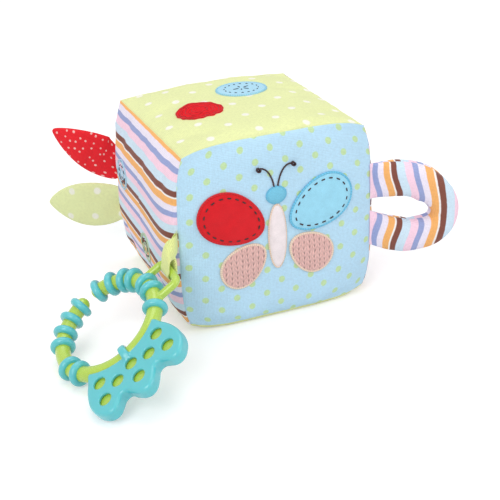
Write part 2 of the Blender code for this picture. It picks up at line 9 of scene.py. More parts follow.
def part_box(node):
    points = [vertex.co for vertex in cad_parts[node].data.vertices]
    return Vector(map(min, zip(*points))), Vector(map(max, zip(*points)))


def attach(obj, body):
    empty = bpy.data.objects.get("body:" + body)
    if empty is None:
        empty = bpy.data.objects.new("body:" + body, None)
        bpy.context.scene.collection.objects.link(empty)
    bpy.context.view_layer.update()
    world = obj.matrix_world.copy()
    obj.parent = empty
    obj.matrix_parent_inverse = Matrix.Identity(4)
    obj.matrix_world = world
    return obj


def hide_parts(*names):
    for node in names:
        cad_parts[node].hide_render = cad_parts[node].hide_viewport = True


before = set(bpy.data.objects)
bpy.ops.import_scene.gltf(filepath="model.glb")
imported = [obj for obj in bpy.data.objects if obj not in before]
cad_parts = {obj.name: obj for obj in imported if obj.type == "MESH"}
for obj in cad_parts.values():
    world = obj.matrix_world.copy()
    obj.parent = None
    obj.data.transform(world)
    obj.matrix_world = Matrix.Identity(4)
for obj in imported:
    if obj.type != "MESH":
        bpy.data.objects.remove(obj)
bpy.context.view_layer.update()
mm = 0.001


# Small helpers: selecting, reading and writing points

def leaveEditMode():
    if bpy.context.mode != "OBJECT":
        bpy.ops.object.mode_set(mode="OBJECT")


def clearSelection():
    leaveEditMode()
    bpy.ops.object.select_all(action="DESELECT")


def selectOnly(*objs):
    clearSelection()
    for obj in objs:
        obj.select_set(True)
    bpy.context.view_layer.objects.active = objs[0]


def newest(name):
    obj = bpy.context.active_object
    obj.name = name
    obj.data.name = name
    return obj


def addShape(name, operator, **settings):
    clearSelection()
    operator(**settings)
    return newest(name)


def addGrid(name, rows, columns, size):
    return addShape(
        name, bpy.ops.mesh.primitive_grid_add, x_subdivisions=rows, y_subdivisions=columns, size=size)


def editAll(obj):
    selectOnly(obj)
    bpy.ops.object.mode_set(mode="EDIT")
    bpy.ops.mesh.select_all(action="SELECT")


def readVectors(items, key):
    flat = np.zeros(len(items) * 3, np.float32)
    items.foreach_get(key, flat)
    return flat.reshape(-1, 3).astype(float)


def readWhole(items, key, width=1):
    flat = np.zeros(len(items) * width, np.int32)
    items.foreach_get(key, flat)
    return flat


def points(obj):
    return readVectors(obj.data.vertices, "co")


def movePoints(obj, places):
    obj.data.vertices.foreach_set("co", np.asarray(places, float).ravel())
    obj.data.update()


def vertexNormals(obj):
    return readVectors(obj.data.vertex_normals, "vector")


def keepAttribute(obj, name, vectors):
    layer = obj.data.attributes.new(name, "FLOAT_VECTOR", "POINT")
    layer.data.foreach_set("vector", np.asarray(vectors, np.float32).ravel())


def readAttribute(obj, name):
    return readVectors(obj.data.attributes[name].data, "vector")


def setUv(obj, uv):
    layer = obj.data.uv_layers.active or obj.data.uv_layers.new(name="UVMap")
    layer.data.foreach_set("uv", uv.astype(np.float32).ravel())


def writeUv(obj, across, up):
    corner = readWhole(obj.data.loops, "vertex_index")
    setUv(obj, np.stack([across[corner], up[corner]], 1))


def applyModifier(obj, kind, **settings):
    selectOnly(obj)
    modifier = obj.modifiers.new(kind.lower(), kind)
    for key, value in settings.items():
        setattr(modifier, key, value)
    bpy.ops.object.modifier_apply(modifier=modifier.name)


def smoothShade(obj, angle=None):
    selectOnly(obj)
    if angle is None:
        bpy.ops.object.shade_smooth()
    else:
        bpy.ops.object.shade_smooth_by_angle(angle=math.radians(angle))


def makeNormalsOutward(obj):
    editAll(obj)
    bpy.ops.mesh.normals_make_consistent(inside=False)
    leaveEditMode()


def settle(obj):
    selectOnly(obj)
    bpy.ops.object.transform_apply(location=True, rotation=True, scale=True)


def closeUnder(obj, under):
    # Gives an open sheet its underside, at the given places
    keepAttribute(obj, "under", under)
    editAll(obj)
    bpy.ops.mesh.extrude_region()
    leaveEditMode()
    below = np.zeros(len(obj.data.vertices), bool)
    obj.data.vertices.foreach_get("select", below)
    places = points(obj)
    places[below] = readAttribute(obj, "under")[below]
    movePoints(obj, places)
    makeNormalsOutward(obj)
    smoothShade(obj, 50)


def newCurve(name, **settings):
    curve = bpy.data.curves.new(name, "CURVE")
    for key, value in settings.items():
        setattr(curve, key, value)
    return curve


def addLine(curve, path, sizes, closed=False):
    spline = curve.splines.new("POLY")
    spline.points.add(len(path) - 1)
    spline.use_cyclic_u = closed
    for point, place, size in zip(spline.points, path, sizes):
        point.co = (*place, 1)
        point.radius = size


def toMesh(curve, name, threshold=2e-6):
    obj = bpy.data.objects.new(name, curve)
    bpy.context.collection.objects.link(obj)
    selectOnly(obj)
    bpy.ops.object.convert(target="MESH")
    obj = newest(name)
    editAll(obj)
    bpy.ops.mesh.remove_doubles(threshold=threshold)
    bpy.ops.mesh.normals_make_consistent(inside=False)
    leaveEditMode()
    return obj


def combine(obj, other, operation):
    applyModifier(obj, "BOOLEAN", operation=operation, object=other, solver="EXACT")
    bpy.data.objects.remove(other)


def noiseAll(places, scale, seed):
    shift = np.array((seed, 0, 0))
    return np.array([noise.noise(Vector(p / scale + shift)) for p in places])


def outFromSeam(spec, degrees, place):
    # A place measured out from a seam, in the directions of the part
    turn = math.radians(degrees)
    return (spec["seam"][0] + place[0] * math.cos(turn) - place[1] * math.sin(turn),
            spec["seam"][1] + place[0] * math.sin(turn) + place[1] * math.cos(turn), place[2])


def giveFinish(obj, finish, slotName, body, *replaced):
    obj.data.materials.clear()
    obj.data.materials.append(finish)
    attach(obj, body)
    if replaced:
        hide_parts(*replaced)


# Shader building blocks

class Wire:
    # A value in a node graph; sums of wires add the nodes that reckon them
    def __init__(self, socket):
        self.socket = socket
        self.tree = socket.id_data

    def calc(self, operation, *others, clamp=False):
        values = dict(enumerate((self, *others)))
        return wireFrom(self.tree, "Math", 0, values, operation=operation, use_clamp=clamp)

    def __add__(self, other):
        return self.calc("ADD", other)

    def __sub__(self, other):
        return self.calc("SUBTRACT", other)

    def __mul__(self, other):
        return self.calc("MULTIPLY", other)

    def __truediv__(self, other):
        return self.calc("DIVIDE", other)


def linear(hexText):
    channels = [int(hexText[i:i + 2], 16) / 255 for i in (1, 3, 5)]
    return tuple(c / 12.92 if c <= 0.04045 else ((c + 0.055) / 1.055) ** 2.4 for c in channels) + (1.0,)


def feed(socket, value):
    if isinstance(value, Wire):
        value.tree.links.new(value.socket, socket)
    else:
        socket.default_value = value


def addNode(tree, kind, values=None, **settings):
    node = tree.nodes.new("ShaderNode" + kind)
    for key, value in settings.items():
        setattr(node, key, value)
    for key, value in (values or {}).items():
        feed(node.inputs[key], value)
    return node


def wireFrom(tree, kind, output, values=None, **settings):
    return Wire(addNode(tree, kind, values, **settings).outputs[output])


def vectorCalc(operation, first, *others):
    values = dict(enumerate((first, *others)))
    output = "Value" if operation == "LENGTH" else "Vector"
    return wireFrom(first.tree, "VectorMath", output, values, operation=operation)


def noiseValue(place, scale, detail, **more):
    values = {"Vector": place, "Scale": scale, "Detail": detail, **more}
    return wireFrom(place.tree, "TexNoise", "Fac", values)


def axesOf(place):
    split = addNode(place.tree, "SeparateXYZ", {"Vector": place}).outputs
    return Wire(split["X"]), Wire(split["Y"])


def joined(x, y, z):
    return wireFrom(x.tree, "CombineXYZ", 0, {"X": x, "Y": y, "Z": z})


def sized(place, size):
    return vectorCalc("DIVIDE", place, joined(size, size, size))


def ridges(run):
    return (run * math.pi).calc("SINE").calc("ABSOLUTE")


def softEdge(given, distance):
    # 1 within the radius and 0 beyond it
    return ((given["Radius"] - distance) / given["Softness"]).calc("ADD", 0.5, clamp=True)


def newGroup(name, inputs, *outputs):
    tree = bpy.data.node_groups.new(name, "ShaderNodeTree")
    for title, value in inputs.items():
        kind = "NodeSocketVector" if title == "Place" else "NodeSocketFloat"
        tree.interface.new_socket(name=title, in_out="INPUT", socket_type=kind).default_value = value
    for title in outputs:
        kind = "NodeSocketColor" if title == "Color" else "NodeSocketFloat"
        tree.interface.new_socket(name=title, in_out="OUTPUT", socket_type=kind)
    given = tree.nodes.new("NodeGroupInput").outputs
    ends = tree.nodes.new("NodeGroupOutput").inputs
    return tree, {title: Wire(given[title]) for title in inputs}, ends


def useGroup(group, **values):
    node = addNode(values["Place"].tree, "Group", values, node_tree=group)
    return {output.name: Wire(output) for output in node.outputs}


def mixColours(tree, factor, first, second, blend="MIX"):
    values = {0: factor, 6: first, 7: second}
    return wireFrom(tree, "Mix", 2, values, data_type="RGBA", blend_type=blend)


def newFinish(name, roughness, look):
    finish = bpy.data.materials.new(name)
    finish.use_nodes = True
    shader = finish.node_tree.nodes["Principled BSDF"]
    for key, value in {"Roughness": roughness, **look}.items():
        shader.inputs[key].default_value = value
    return finish, finish.node_tree, shader


def paint(shader, colour, shades, height, depth):
    for shade in shades:
        grey = wireFrom(shade.tree, "CombineColor", 0, {"Red": shade, "Green": shade, "Blue": shade})
        colour = mixColours(shade.tree, 1.0, colour, grey, "MULTIPLY")
    feed(shader.inputs["Base Color"], colour)
    bump = {"Height": height, "Distance": depth, "Strength": 1.0}
    feed(shader.inputs["Normal"], wireFrom(height.tree, "Bump", "Normal", bump))


def objectMillimetres(tree):
    place = wireFrom(tree, "TexCoord", "Object")
    return wireFrom(tree, "VectorMath", "Vector", {0: place, "Scale": 1 / mm}, operation="SCALE")


def uvMillimetres(tree, width, height, moveX=0.0, moveY=0.0, turn=0.0):
    return wireFrom(tree, "Mapping", "Vector", {
        "Vector": wireFrom(tree, "TexCoord", "UV"), "Scale": (width, height, 1),
        "Rotation": (0, 0, math.radians(turn)), "Location": (moveX, moveY, 0)})


# Camera, floor and light

view = {
    "place": (-0.24141, -0.60082, 0.34139),
    "right": (0.92171267, -0.38637518, -0.03405841),
    "up": (0.1836446, 0.35737093, 0.91572959),
    "back": (-0.3416437, -0.8502942, 0.40034903),
    "lens": 82.57,
    "shiftX": 0.0198,
    "shiftY": -0.122,
}
studio = {
    "floorSize": 12.0,
    "floorColour": "#E9E9E9",
    "floorGlow": 0.32,
    "worldStrength": 0.6,
    "aim": (0, 0, 0.05),
    "lamps": [
        ("keyLamp", (-1.25, -1.15, 1.35), 1.3, 15.5),
        ("fillLamp", (1.3, -1.2, 0.9), 1.4, 8.0),
        ("topLamp", (0.1, 0.4, 1.9), 1.6, 9.5),
    ],
}


def makeCamera():
    axes = Matrix([view["right"], view["up"], view["back"]]).transposed().to_4x4()
    bpy.ops.object.camera_add()
    camera = bpy.context.active_object
    camera.name = "photoCamera"
    camera.matrix_world = Matrix.Translation(view["place"]) @ axes
    camera.data.lens = view["lens"]
    camera.data.sensor_width = 36
    camera.data.shift_x = view["shiftX"]
    camera.data.shift_y = view["shiftY"]
    camera.data.clip_start = 0.01
    bpy.context.scene.camera = camera
    print("camera made")


def seenDirectly(tree):
    rays = addNode(tree, "LightPath").outputs
    mirrored = Wire(rays["Is Glossy Ray"]).calc("MAXIMUM", Wire(rays["Is Transmission Ray"]))
    return Wire(rays["Is Camera Ray"]).calc("MAXIMUM", mirrored)


def makeStudio():
    floor = addShape("studioFloor", bpy.ops.mesh.primitive_plane_add, size=studio["floorSize"])
    paper, tree, shader = newFinish("studioPaper", 1, {
        "Base Color": linear(studio["floorColour"]), "Specular IOR Level": 0,
        "Emission Color": (1, 1, 1, 1)})
    feed(shader.inputs["Emission Strength"], seenDirectly(tree) * studio["floorGlow"])
    floor.data.materials.append(paper)

    world = bpy.data.worlds.new("studioWorld")
    bpy.context.scene.world = world
    world.use_nodes = True
    tree = world.node_tree
    tree.nodes.clear()
    level = wireFrom(tree, "MapRange", "Result", {
        "Value": seenDirectly(tree), "To Min": studio["worldStrength"], "To Max": 1})
    sky = wireFrom(tree, "Background", 0, {"Strength": level, "Color": (1, 1, 1, 1)})
    addNode(tree, "OutputWorld", {"Surface": sky})

    for name, place, size, power in studio["lamps"]:
        bpy.ops.object.light_add(type="AREA", location=place)
        lamp = bpy.context.active_object
        lamp.name = name
        lamp.data.shape = "DISK"
        lamp.data.size = size
        lamp.data.energy = power
        towards = Vector(studio["aim"]) - Vector(place)
        lamp.rotation_euler = towards.to_track_quat("-Z", "Y").to_euler()
    bpy.context.scene.view_settings.view_transform = "Standard"
    print("studio made")


# Weave, prints and fibres, all by a place in millimetres

def makeWeaveGroup():
    # Plain weave: threads along both directions that pass over and under each other. Its shade is painted:
    # darker where the threads lie low, with random tone on top
    tree, given, ends = newGroup("plainWeave", {"Place": (0, 0, 0), "Pitch": 0.5}, "Height", "Shade")
    scaled = sized(given["Place"], given["Pitch"])
    wobble = wireFrom(tree, "TexNoise", "Color", {"Vector": scaled, "Scale": 0.35, "Detail": 1.0})
    x, y = axesOf(vectorCalc("ADD", scaled, wobble))
    warp, weft = ridges(x), ridges(y)
    over = wireFrom(tree, "TexChecker", "Fac", {"Vector": joined(x, y, 0.5), "Scale": 1.0})
    height = wireFrom(tree, "Mix", 0, {
        "Factor": over, "A": warp * (weft * 0.5 + 0.5), "B": weft * (warp * 0.5 + 0.5)})
    feed(ends["Height"], height)
    # Painted shade: the low places between threads are darker; the noise adds random tone
    feed(ends["Shade"], height * 0.16 + noiseValue(scaled, 0.5, 2.0) * 0.2 + 0.79)
    return tree


def makeDotGroup():
    # Round dots on a staggered lattice; the edges are slightly rough, as in print
    tree, given, ends = newGroup(
        "staggeredDots",
        {"Place": (0, 0, 0), "Pitch Across": 18.0, "Pitch Up": 14.5, "Radius": 1.75, "Softness": 0.35},
        "Mask")
    rough = noiseValue(given["Place"], 0.45, 2.0) * 0.5 - 0.25
    across, up = axesOf(given["Place"])
    distances = []
    for share in (0, 0.5):
        parts = [(pitch * share + place).calc("WRAP", pitch * 0.5, pitch * -0.5)
                 for place, pitch in ((across, given["Pitch Across"]), (up, given["Pitch Up"]))]
        distances.append(vectorCalc("LENGTH", joined(*parts, 0.0)))
    feed(ends["Mask"], softEdge(given, distances[0].calc("MINIMUM", distances[1]) + rough))
    return tree


def makeScatterGroup():
    # Dots of uneven size in a loose scatter
    tree, given, ends = newGroup("scatteredDots", {
        "Place": (0, 0, 0), "Pitch": 5.0, "Radius": 0.65, "Softness": 0.3}, "Mask")
    cells = wireFrom(tree, "TexVoronoi", "Distance", {
        "Vector": sized(given["Place"], given["Pitch"]), "Scale": 1.0, "Randomness": 0.62},
        voronoi_dimensions="2D")
    rough = noiseValue(given["Place"], 0.35, 2.0) - 0.5
    feed(ends["Mask"], softEdge(given, cells * given["Pitch"] + rough))
    return tree


stripes = {
    "period": 24.1,
    "softness": 0.006,
    "bands": [
        ("#FFD9EB", 4.4), ("#9EAAD9", 3.1), ("#F4EBFB", 3.5), ("#FBB870", 3.8), ("#FDF7F4", 1.0),
        ("#875145", 3.4), ("#D6EBFB", 4.9),
    ],
}


def makeStripeGroup():
    # Printed stripes, one colour after the other
    tree, given, ends = newGroup("printedStripes", {"Run": 0.0, "Place": (0, 0, 0)}, "Color")
    rough = noiseValue(given["Place"], 0.3, 2.0) * 0.4 - 0.2
    run = (given["Run"] + rough) / stripes["period"]
    ramp = addNode(tree, "ValToRGB", {"Fac": run.calc("WRAP", 1.0, 0.0)})
    bands = ramp.color_ramp
    total = sum(width for _, width in stripes["bands"])
    start = 0.0
    stops = []
    for hexText, width in stripes["bands"]:
        end = start + width / total
        stops += [(start + stripes["softness"], hexText), (end - stripes["softness"], hexText)]
        start = end
    while len(bands.elements) > 1:
        bands.elements.remove(bands.elements[-1])
    bands.elements[0].position = stops[0][0]
    bands.elements[0].color = linear(stops[0][1])
    for place, hexText in stops[1:]:
        bands.elements.new(place).color = linear(hexText)
    feed(ends["Color"], Wire(ramp.outputs["Color"]))
    return tree


def makeFuzzGroup():
    # Matted fibres, for felt, fleece and stuffing. Its shade is painted: darker where the fibres lie low,
    # with broad random tone on top
    tree, given, ends = newGroup("mattedFibre", {"Place": (0, 0, 0), "Size": 0.6}, "Height", "Shade")
    scaled = sized(given["Place"], given["Size"])
    fine = noiseValue(scaled, 1.0, 5.0, Roughness=0.7, Distortion=1.2)
    feed(ends["Height"], fine)
    # Painted shade: low fibres are darker; the broad noise adds random tone
    feed(ends["Shade"], fine * 0.34 + noiseValue(scaled, 0.12, 2.0) * 0.2 + 0.72)
    return tree


def makeThreadGroup():
    # Satin stitches side by side: fine ridges by a running place, with painted shade between the ridges
    # and an uneven painted sheen
    tree, given, ends = newGroup(
        "satinThreads", {"Run": 0.0, "Pitch": 0.4, "Place": (0, 0, 0)}, "Height", "Shade")
    height = ridges(given["Run"] / given["Pitch"] + noiseValue(given["Place"], 0.8, 2.0) * 1.3)
    feed(ends["Height"], height)
    # Painted shade between the ridges, and painted sheen that varies from place to place
    feed(ends["Shade"], height * 0.22 + noiseValue(given["Place"], 1.6, 2.0) * 0.3 + 0.68)
    return tree


def makeKnitGroup():
    # Stocking stitch: columns of V shapes, each loop's foot in the shade of the one before
    tree, given, ends = newGroup(
        "knitStitches", {"Place": (0, 0, 0), "Column": 3.3, "Row": 3.3}, "Height", "Shade")
    sway = noiseValue(given["Place"], 0.16, 2.0)
    across, up = axesOf(given["Place"])
    column = (across + sway * 2.4 - 1.2) / given["Column"]
    aside = (column.calc("FRACT") - 0.5).calc("ABSOLUTE")
    row = (up + sway * 1.8 - 0.9) / given["Row"] - aside * 1.5
    wave = (row * math.tau).calc("COSINE") * -0.5 + 0.5
    edge = (aside - 0.25) * 4.0
    height = wave.calc("POWER", 0.6) * (edge * edge * -0.85 + 1.0)
    feed(ends["Height"], height)
    notch = (aside / -0.17).calc("ADD", 1.0, clamp=True) * (wave * -1.0 + 1.0)
    feed(ends["Shade"], height * 0.2 + 0.86 - notch * 0.52)
    return tree


def makeWearGroup():
    # Broad, faint unevenness of a washed print or a handled moulding
    tree, given, ends = newGroup("gentleWear", {"Place": (0, 0, 0), "Size": 20.0, "Amount": 0.06}, "Shade")
    broad = noiseValue(sized(given["Place"], given["Size"]), 1.0, 4.0)
    feed(ends["Shade"], (broad * 2.0 - 1.0) * given["Amount"] + 1.0)
    return tree


weaveGroup = makeWeaveGroup()
dotGroup = makeDotGroup()
scatterGroup = makeScatterGroup()
stripeGroup = makeStripeGroup()
fuzzGroup = makeFuzzGroup()
threadGroup = makeThreadGroup()
knitGroup = makeKnitGroup()
wearGroup = makeWearGroup()


# Finishes

cotton = {
    "roughness": 0.92,
    "sheen": 0.12,
    "shine": 0.2,
    "weavePitch": 0.8,
    "weaveDepth": 0.09 * mm,
    "wearSize": 22.0,
    "wearAmount": 0.05,
}
largeDots = {"Pitch Across": 28.3, "Pitch Up": 22.0, "Radius": 2.2, "Softness": 0.8}
dotPrints = {
    "blue": {"ground": "#BEE2F8", "dots": "#C6E3AE", "place": (-2.5, -12.95, 3.5), "group": dotGroup,
             "lattice": {"Pitch Across": 17.2, "Pitch Up": 13.0, "Radius": 1.8}},
    "green": {"ground": "#EAF0B0", "dots": "#FAF8EC", "place": (-34.0, -19.5, 3.4), "group": dotGroup,
              "lattice": largeDots},
    "leafGreen": {"ground": "#E6EEB2", "dots": "#F2F3E2", "place": (-17.3, -4.5, 39), "group": dotGroup,
                  "lattice": largeDots},
    "red": {"ground": "#EC2630", "dots": "#F9BFB9", "place": (0, 0, 0), "group": scatterGroup,
            "lattice": {}},
}


def newCotton(name, *mapping):
    look = {"Sheen Weight": cotton["sheen"], "Specular IOR Level": cotton["shine"]}
    finish, tree, shader = newFinish(name, cotton["roughness"], look)
    return finish, shader, uvMillimetres(tree, *mapping)


def paintCotton(shader, place, colour):
    weave = useGroup(weaveGroup, Place=place, Pitch=cotton["weavePitch"])
    wear = useGroup(wearGroup, Place=place, Size=cotton["wearSize"], Amount=cotton["wearAmount"])
    paint(shader, colour, (weave["Shade"], wear["Shade"]), weave["Height"], cotton["weaveDepth"])


def dottedCotton(name, width, height, kind):
    spec = dotPrints[kind]
    finish, shader, place = newCotton(name, width, height, *spec["place"])
    mask = useGroup(spec["group"], Place=place, **spec["lattice"])["Mask"]
    paintCotton(shader, place, mixColours(place.tree, mask, linear(spec["ground"]), linear(spec["dots"])))
    return finish


def stripedCotton(name, width, height, axis, offset):
    finish, shader, place = newCotton(name, width, height)
    run = axesOf(place)[axis] + offset
    paintCotton(shader, place, useGroup(stripeGroup, Run=run, Place=place)["Color"])
    return finish


def feltFinish(name, hexText):
    finish, tree, shader = newFinish(name, 0.95, {"Sheen Weight": 0.15, "Specular IOR Level": 0.15})
    fuzz = useGroup(fuzzGroup, Place=objectMillimetres(tree), Size=0.55)
    paint(shader, linear(hexText), [fuzz["Shade"]], fuzz["Height"], 0.25 * mm)
    return finish


def knitFinish(name, hexText):
    finish, tree, shader = newFinish(name, 0.95, {"Sheen Weight": 0.3, "Specular IOR Level": 0.15})
    place = uvMillimetres(tree, 100, 100)
    stitches = useGroup(knitGroup, Place=place)
    fuzz = useGroup(fuzzGroup, Place=place, Size=0.5)
    height = fuzz["Height"] * 0.25 + stitches["Height"]
    paint(shader, linear(hexText), (stitches["Shade"], fuzz["Shade"]), height, 0.4 * mm)
    return finish


def threadFinish(name, hexText, pitch=0.3, axis=0, width=20, height=20):
    look = {"Sheen Weight": 0.04, "Specular IOR Level": 0.3, "Anisotropic": 0.4}
    finish, tree, shader = newFinish(name, 0.6, look)
    place = uvMillimetres(tree, width, height)
    threads = useGroup(threadGroup, Run=axesOf(place)[axis], Pitch=pitch, Place=place)
    paint(shader, linear(hexText), [threads["Shade"]], threads["Height"], 0.12 * mm)
    return finish


def woundThreads(name, hexText, reach, pitch, gashes=0.0):
    # Embroidery wound round and round, with painted shade in the gaps between its uneven stitches
    finish, tree, shader = newFinish(name, 0.8, {"Specular IOR Level": 0.1})
    place = uvMillimetres(tree, 2 * reach, 2 * reach, -reach, -reach)
    run = vectorCalc("LENGTH", place)
    x, y = axesOf(place)
    uneven = noiseValue(joined(x.calc("ARCTAN2", y) * 2.2, run * 1.1, 0.0), 1.0, 2.0)
    # Painted shade in the gaps: darker strokes along the winding, placed by noise
    gap = (uneven - 0.54).calc("MULTIPLY", 9.0, clamp=True)
    threads = useGroup(threadGroup, Run=run, Pitch=pitch, Place=place)
    paint(shader, linear(hexText), (threads["Shade"], gap * -gashes + 1.0), threads["Height"], 0.08 * mm)
    return finish


def grosgrain(name, hexText, length, width):
    finish, tree, shader = newFinish(name, 0.62, {"Sheen Weight": 0.3, "Specular IOR Level": 0.35})
    place = uvMillimetres(tree, length, width)
    x, y = axesOf(place)
    ribs = useGroup(threadGroup, Run=y * 0.55 + x, Pitch=1.0, Place=place)
    paint(shader, linear(hexText), [ribs["Shade"]], ribs["Height"], 0.22 * mm)
    return finish


def paintWorn(shader, hexText, place, size, amount, height, depth):
    wear = useGroup(wearGroup, Place=place, Size=size, Amount=amount)
    paint(shader, linear(hexText), [wear["Shade"]], height, depth)


def softPlastic(name, hexText, roughness):
    finish, tree, shader = newFinish(name, roughness, {
        "Specular IOR Level": 0.5, "Coat Weight": 0.7, "Coat Roughness": 0.1,
        "Subsurface Weight": 0.12, "Subsurface Radius": (0.6, 0.8, 0.4), "Subsurface Scale": 0.002})
    place = objectMillimetres(tree)
    grain = noiseValue(place, 2.2, 3.0)
    paintWorn(shader, hexText, place, 9.0, 0.05, grain, 0.03 * mm)
    feed(shader.inputs["Roughness"], grain * 0.16 + (roughness - 0.08))
    return finish


def rattlePlastic(name, hexText, clear):
    finish, tree, shader = newFinish(name, 0.2, {"Transmission Weight": clear, "IOR": 1.49})
    place = objectMillimetres(tree)
    paintWorn(shader, hexText, place, 4.0, 0.06, noiseValue(place, 1.4, 6.0), 0.03 * mm)
    return finish


def crackleFilm():
    finish, tree, shader = newFinish("crackleFilm", 0.28, {"Specular IOR Level": 0.6})
    place = objectMillimetres(tree)
    folds = wireFrom(
        tree, "TexVoronoi", "Distance", {"Vector": place, "Scale": 0.25}, feature="DISTANCE_TO_EDGE")
    paintWorn(shader, "#E9EBEE", place, 5.0, 0.08, folds, 0.3 * mm)
    return finish


makeCamera()
makeStudio()


# Stuffed block: six panels sewn edge to edge

block = {
    "halfSizes": (56.3 * mm, 55.3 * mm, 50.45 * mm),
    "height": 100.9 * mm,
    "lift": 8.3 * mm,
    "sideBow": 4.9 * mm,
    "topBow": 3.8 * mm,
    "depthBow": 2.3 * mm,
    "sidePuff": 2 * mm,
    "topPuff": 1.6 * mm,
    "frontShare": 0.5,          # the top bows more in front than behind
    "frontLift": 3.6 * mm,
    "frontFoot": 2.8 * mm,
    "bowPower": 4.6,
    "liftPower": 2.5,
    "flatShare": 0.5,
    "lowest": 0.05 * mm,
    "cuts": 26,
    "finerLevels": 2,
    "slack": 0.6 * mm,          # the cloth starts this far inside and is blown out
    "frames": 20,
    "mostMove": 2.2 * mm,
    "tuck": 1.2 * mm,           # how deep the seam lies
    "tuckWidth": 1.3 * mm,
    "cornerShare": 0.4,         # how much of the tuck a corner gives back
    "proud": 0.35 * mm,
    "pucker": 0.616 * mm,
    "puckerReach": 5.5 * mm,
    "puckerWave": 6.5 * mm,
    "puckerEnd": 4 * mm,
    "puckerSeeds": (7.3, 3.1, 11.7, 5.9),
    "fineFolds": (0.45, 2.3, 31),   # height, closeness and seed of folds between the folds
    "lump": 1.12 * mm,
    "lumpWave": 34 * mm,
    "lumpReach": 14 * mm,
    "lumpSeed": 4.2,
    "lumpShares": (0.25, 0.5, 0.25),
    "sideRoll": 2.4 * mm,       # the left panel turns in towards the front seam
    "sideRollReach": 13 * mm,
    "sideRollEnd": 9 * mm,
    "frontRise": 2.2 * mm,      # the bottom panel shows a little under the front one
    "frontRiseReach": (1.5 * mm, 6 * mm),
    "cloth": 1.1 * mm,
    "seamCloth": 1.35,          # on a seam the cloth's inner side lies further in
}
airCloth = {
    "quality": 6,
    "mass": 0.2,
    "tension_stiffness": 15.0,
    "compression_stiffness": 15.0,
    "shear_stiffness": 5,
    "bending_stiffness": 0.3,
    "use_pressure": True,
    "uniform_pressure_force": 4.0,
    "shrink_min": -0.01,
    "vertex_group_mass": "sewn",
}
panels = {
    "leftPanel": ("left_panel", 0, -1),
    "rightPanel": ("right_panel", 0, 1),
    "frontPanel": ("front_panel", 1, -1),
    "backPanel": ("back_panel", 1, 1),
    "bottomPanel": ("bottom_panel", 2, -1),
    "topPanel": ("top_panel", 2, 1),
}


def bow(share):
    return 1 - np.abs(share) ** block["bowPower"]


def pillow(shares):
    # Where a point of the block lies, by its shares of the half sizes from the middle
    a, b, c = shares[:, 0], shares[:, 1], shares[:, 2]
    halfWidth, halfDepth, _ = block["halfSizes"]
    x = a * (halfWidth + (block["sideBow"] + block["sidePuff"] * bow(b)) * bow(c))
    y = b * (halfDepth + block["depthBow"] * (bow(a) + bow(c)) / 2 + block["sidePuff"] * bow(a) * bow(c))
    y -= block["frontFoot"] * bow(a) * np.clip(-b, 0, 1) * np.clip(-c, 0, 1) ** 3
    rise = np.maximum(0, (np.abs(a) - block["flatShare"]) / (1 - block["flatShare"]))
    lift = (block["lift"] * (1 + b) + block["frontLift"] * (1 - b)) / 2
    low = lift * rise ** block["liftPower"]
    bowed = block["topBow"] * (1 - block["frontShare"] * b)
    top = block["lift"] + block["height"] + (bowed + block["topPuff"] * bow(b)) * bow(a)
    return np.stack([x, y, low + (c + 1) / 2 * (top - low)], 1)


def cubeOfShares(name, cuts):
    obj = addShape(name, bpy.ops.mesh.primitive_cube_add, size=2)
    editAll(obj)
    bpy.ops.mesh.subdivide(number_cuts=cuts)
    leaveEditMode()
    return obj


def panelUv(obj, shares):
    # Each panel's own shares as its map, and its number as material index for the parting
    mesh = obj.data
    corner = readWhole(mesh.loops, "vertex_index")
    normals = readVectors(mesh.polygons, "normal")
    axis = np.abs(normals).argmax(1)
    side = np.sign(normals[np.arange(len(axis)), axis])
    mesh.polygons.foreach_set("material_index", (axis * 2 + (side > 0)).astype(np.int32))
    axis = np.repeat(axis, readWhole(mesh.polygons, "loop_total"))
    place = (shares[corner] + 1) / 2
    rows = np.arange(len(corner))
    across, up = np.where(axis == 0, 1, 0), np.where(axis == 2, 1, 2)
    setUv(obj, np.stack([place[rows, across], place[rows, up]], 1))


def blowOut(obj, pinned):
    # Cloth with air pressure; afterwards no point is further than mostMove from where it started
    start = points(obj)
    group = obj.vertex_groups.new(name="sewn")
    group.add([int(i) for i in np.nonzero(pinned)[0]], 1.0, "REPLACE")
    selectOnly(obj)
    cloth = obj.modifiers.new("cloth", "CLOTH")
    for key, value in airCloth.items():
        setattr(cloth.settings, key, value)
    cloth.settings.effector_weights.gravity = 0
    cloth.collision_settings.use_collision = False
    scene = bpy.context.scene
    for number in range(1, block["frames"] + 1):
        scene.frame_set(number)
    graph = bpy.context.evaluated_depsgraph_get()
    move = readVectors(obj.evaluated_get(graph).data.vertices, "co") - start
    obj.modifiers.remove(cloth)
    scene.frame_set(1)
    length = np.linalg.norm(move, axis=1)[:, None]
    move *= np.minimum(1, block["mostMove"] / np.maximum(length, 1e-9))
    movePoints(obj, start + move)
    obj.vertex_groups.clear()
    print("blown out", obj.name, "moved up to", round(float(length.max()) / mm, 2), "mm")


def puckers(flat, shares, gaps, axisOf):
    # Small folds that run from every seam into the panels
    folds = np.zeros(len(flat))
    reach, wave = block["puckerReach"], block["puckerWave"]
    seeds, (fineShare, finer, fineSeed) = block["puckerSeeds"], block["fineFolds"]
    for axis in range(3):
        others = [k for k in range(3) if k != axis]
        for across, along in (others, others[::-1]):
            near = (axisOf == axis) & (gaps[:, across] < 4 * reach)
            gap = gaps[near, across]
            seed = seeds[0] * axis + seeds[1] * across
            seed = seed + seeds[2] * (shares[near, axis] > 0) + seeds[3] * (shares[near, across] > 0)
            height = np.array([
                noise.noise(Vector((p[along] / wave, s, g / (6 * wave))))
                + fineShare * noise.noise(Vector((p[along] / wave * finer, s + fineSeed, 0)))
                for p, s, g in zip(flat[near], seed, gap)])
            envelope = np.exp(-gap / reach) - np.exp(-gap / (0.2 * reach))
            ends = 1 - np.exp(-gaps[near, along] / block["puckerEnd"])
            folds[near] += block["pucker"] * height * envelope * ends
    return folds


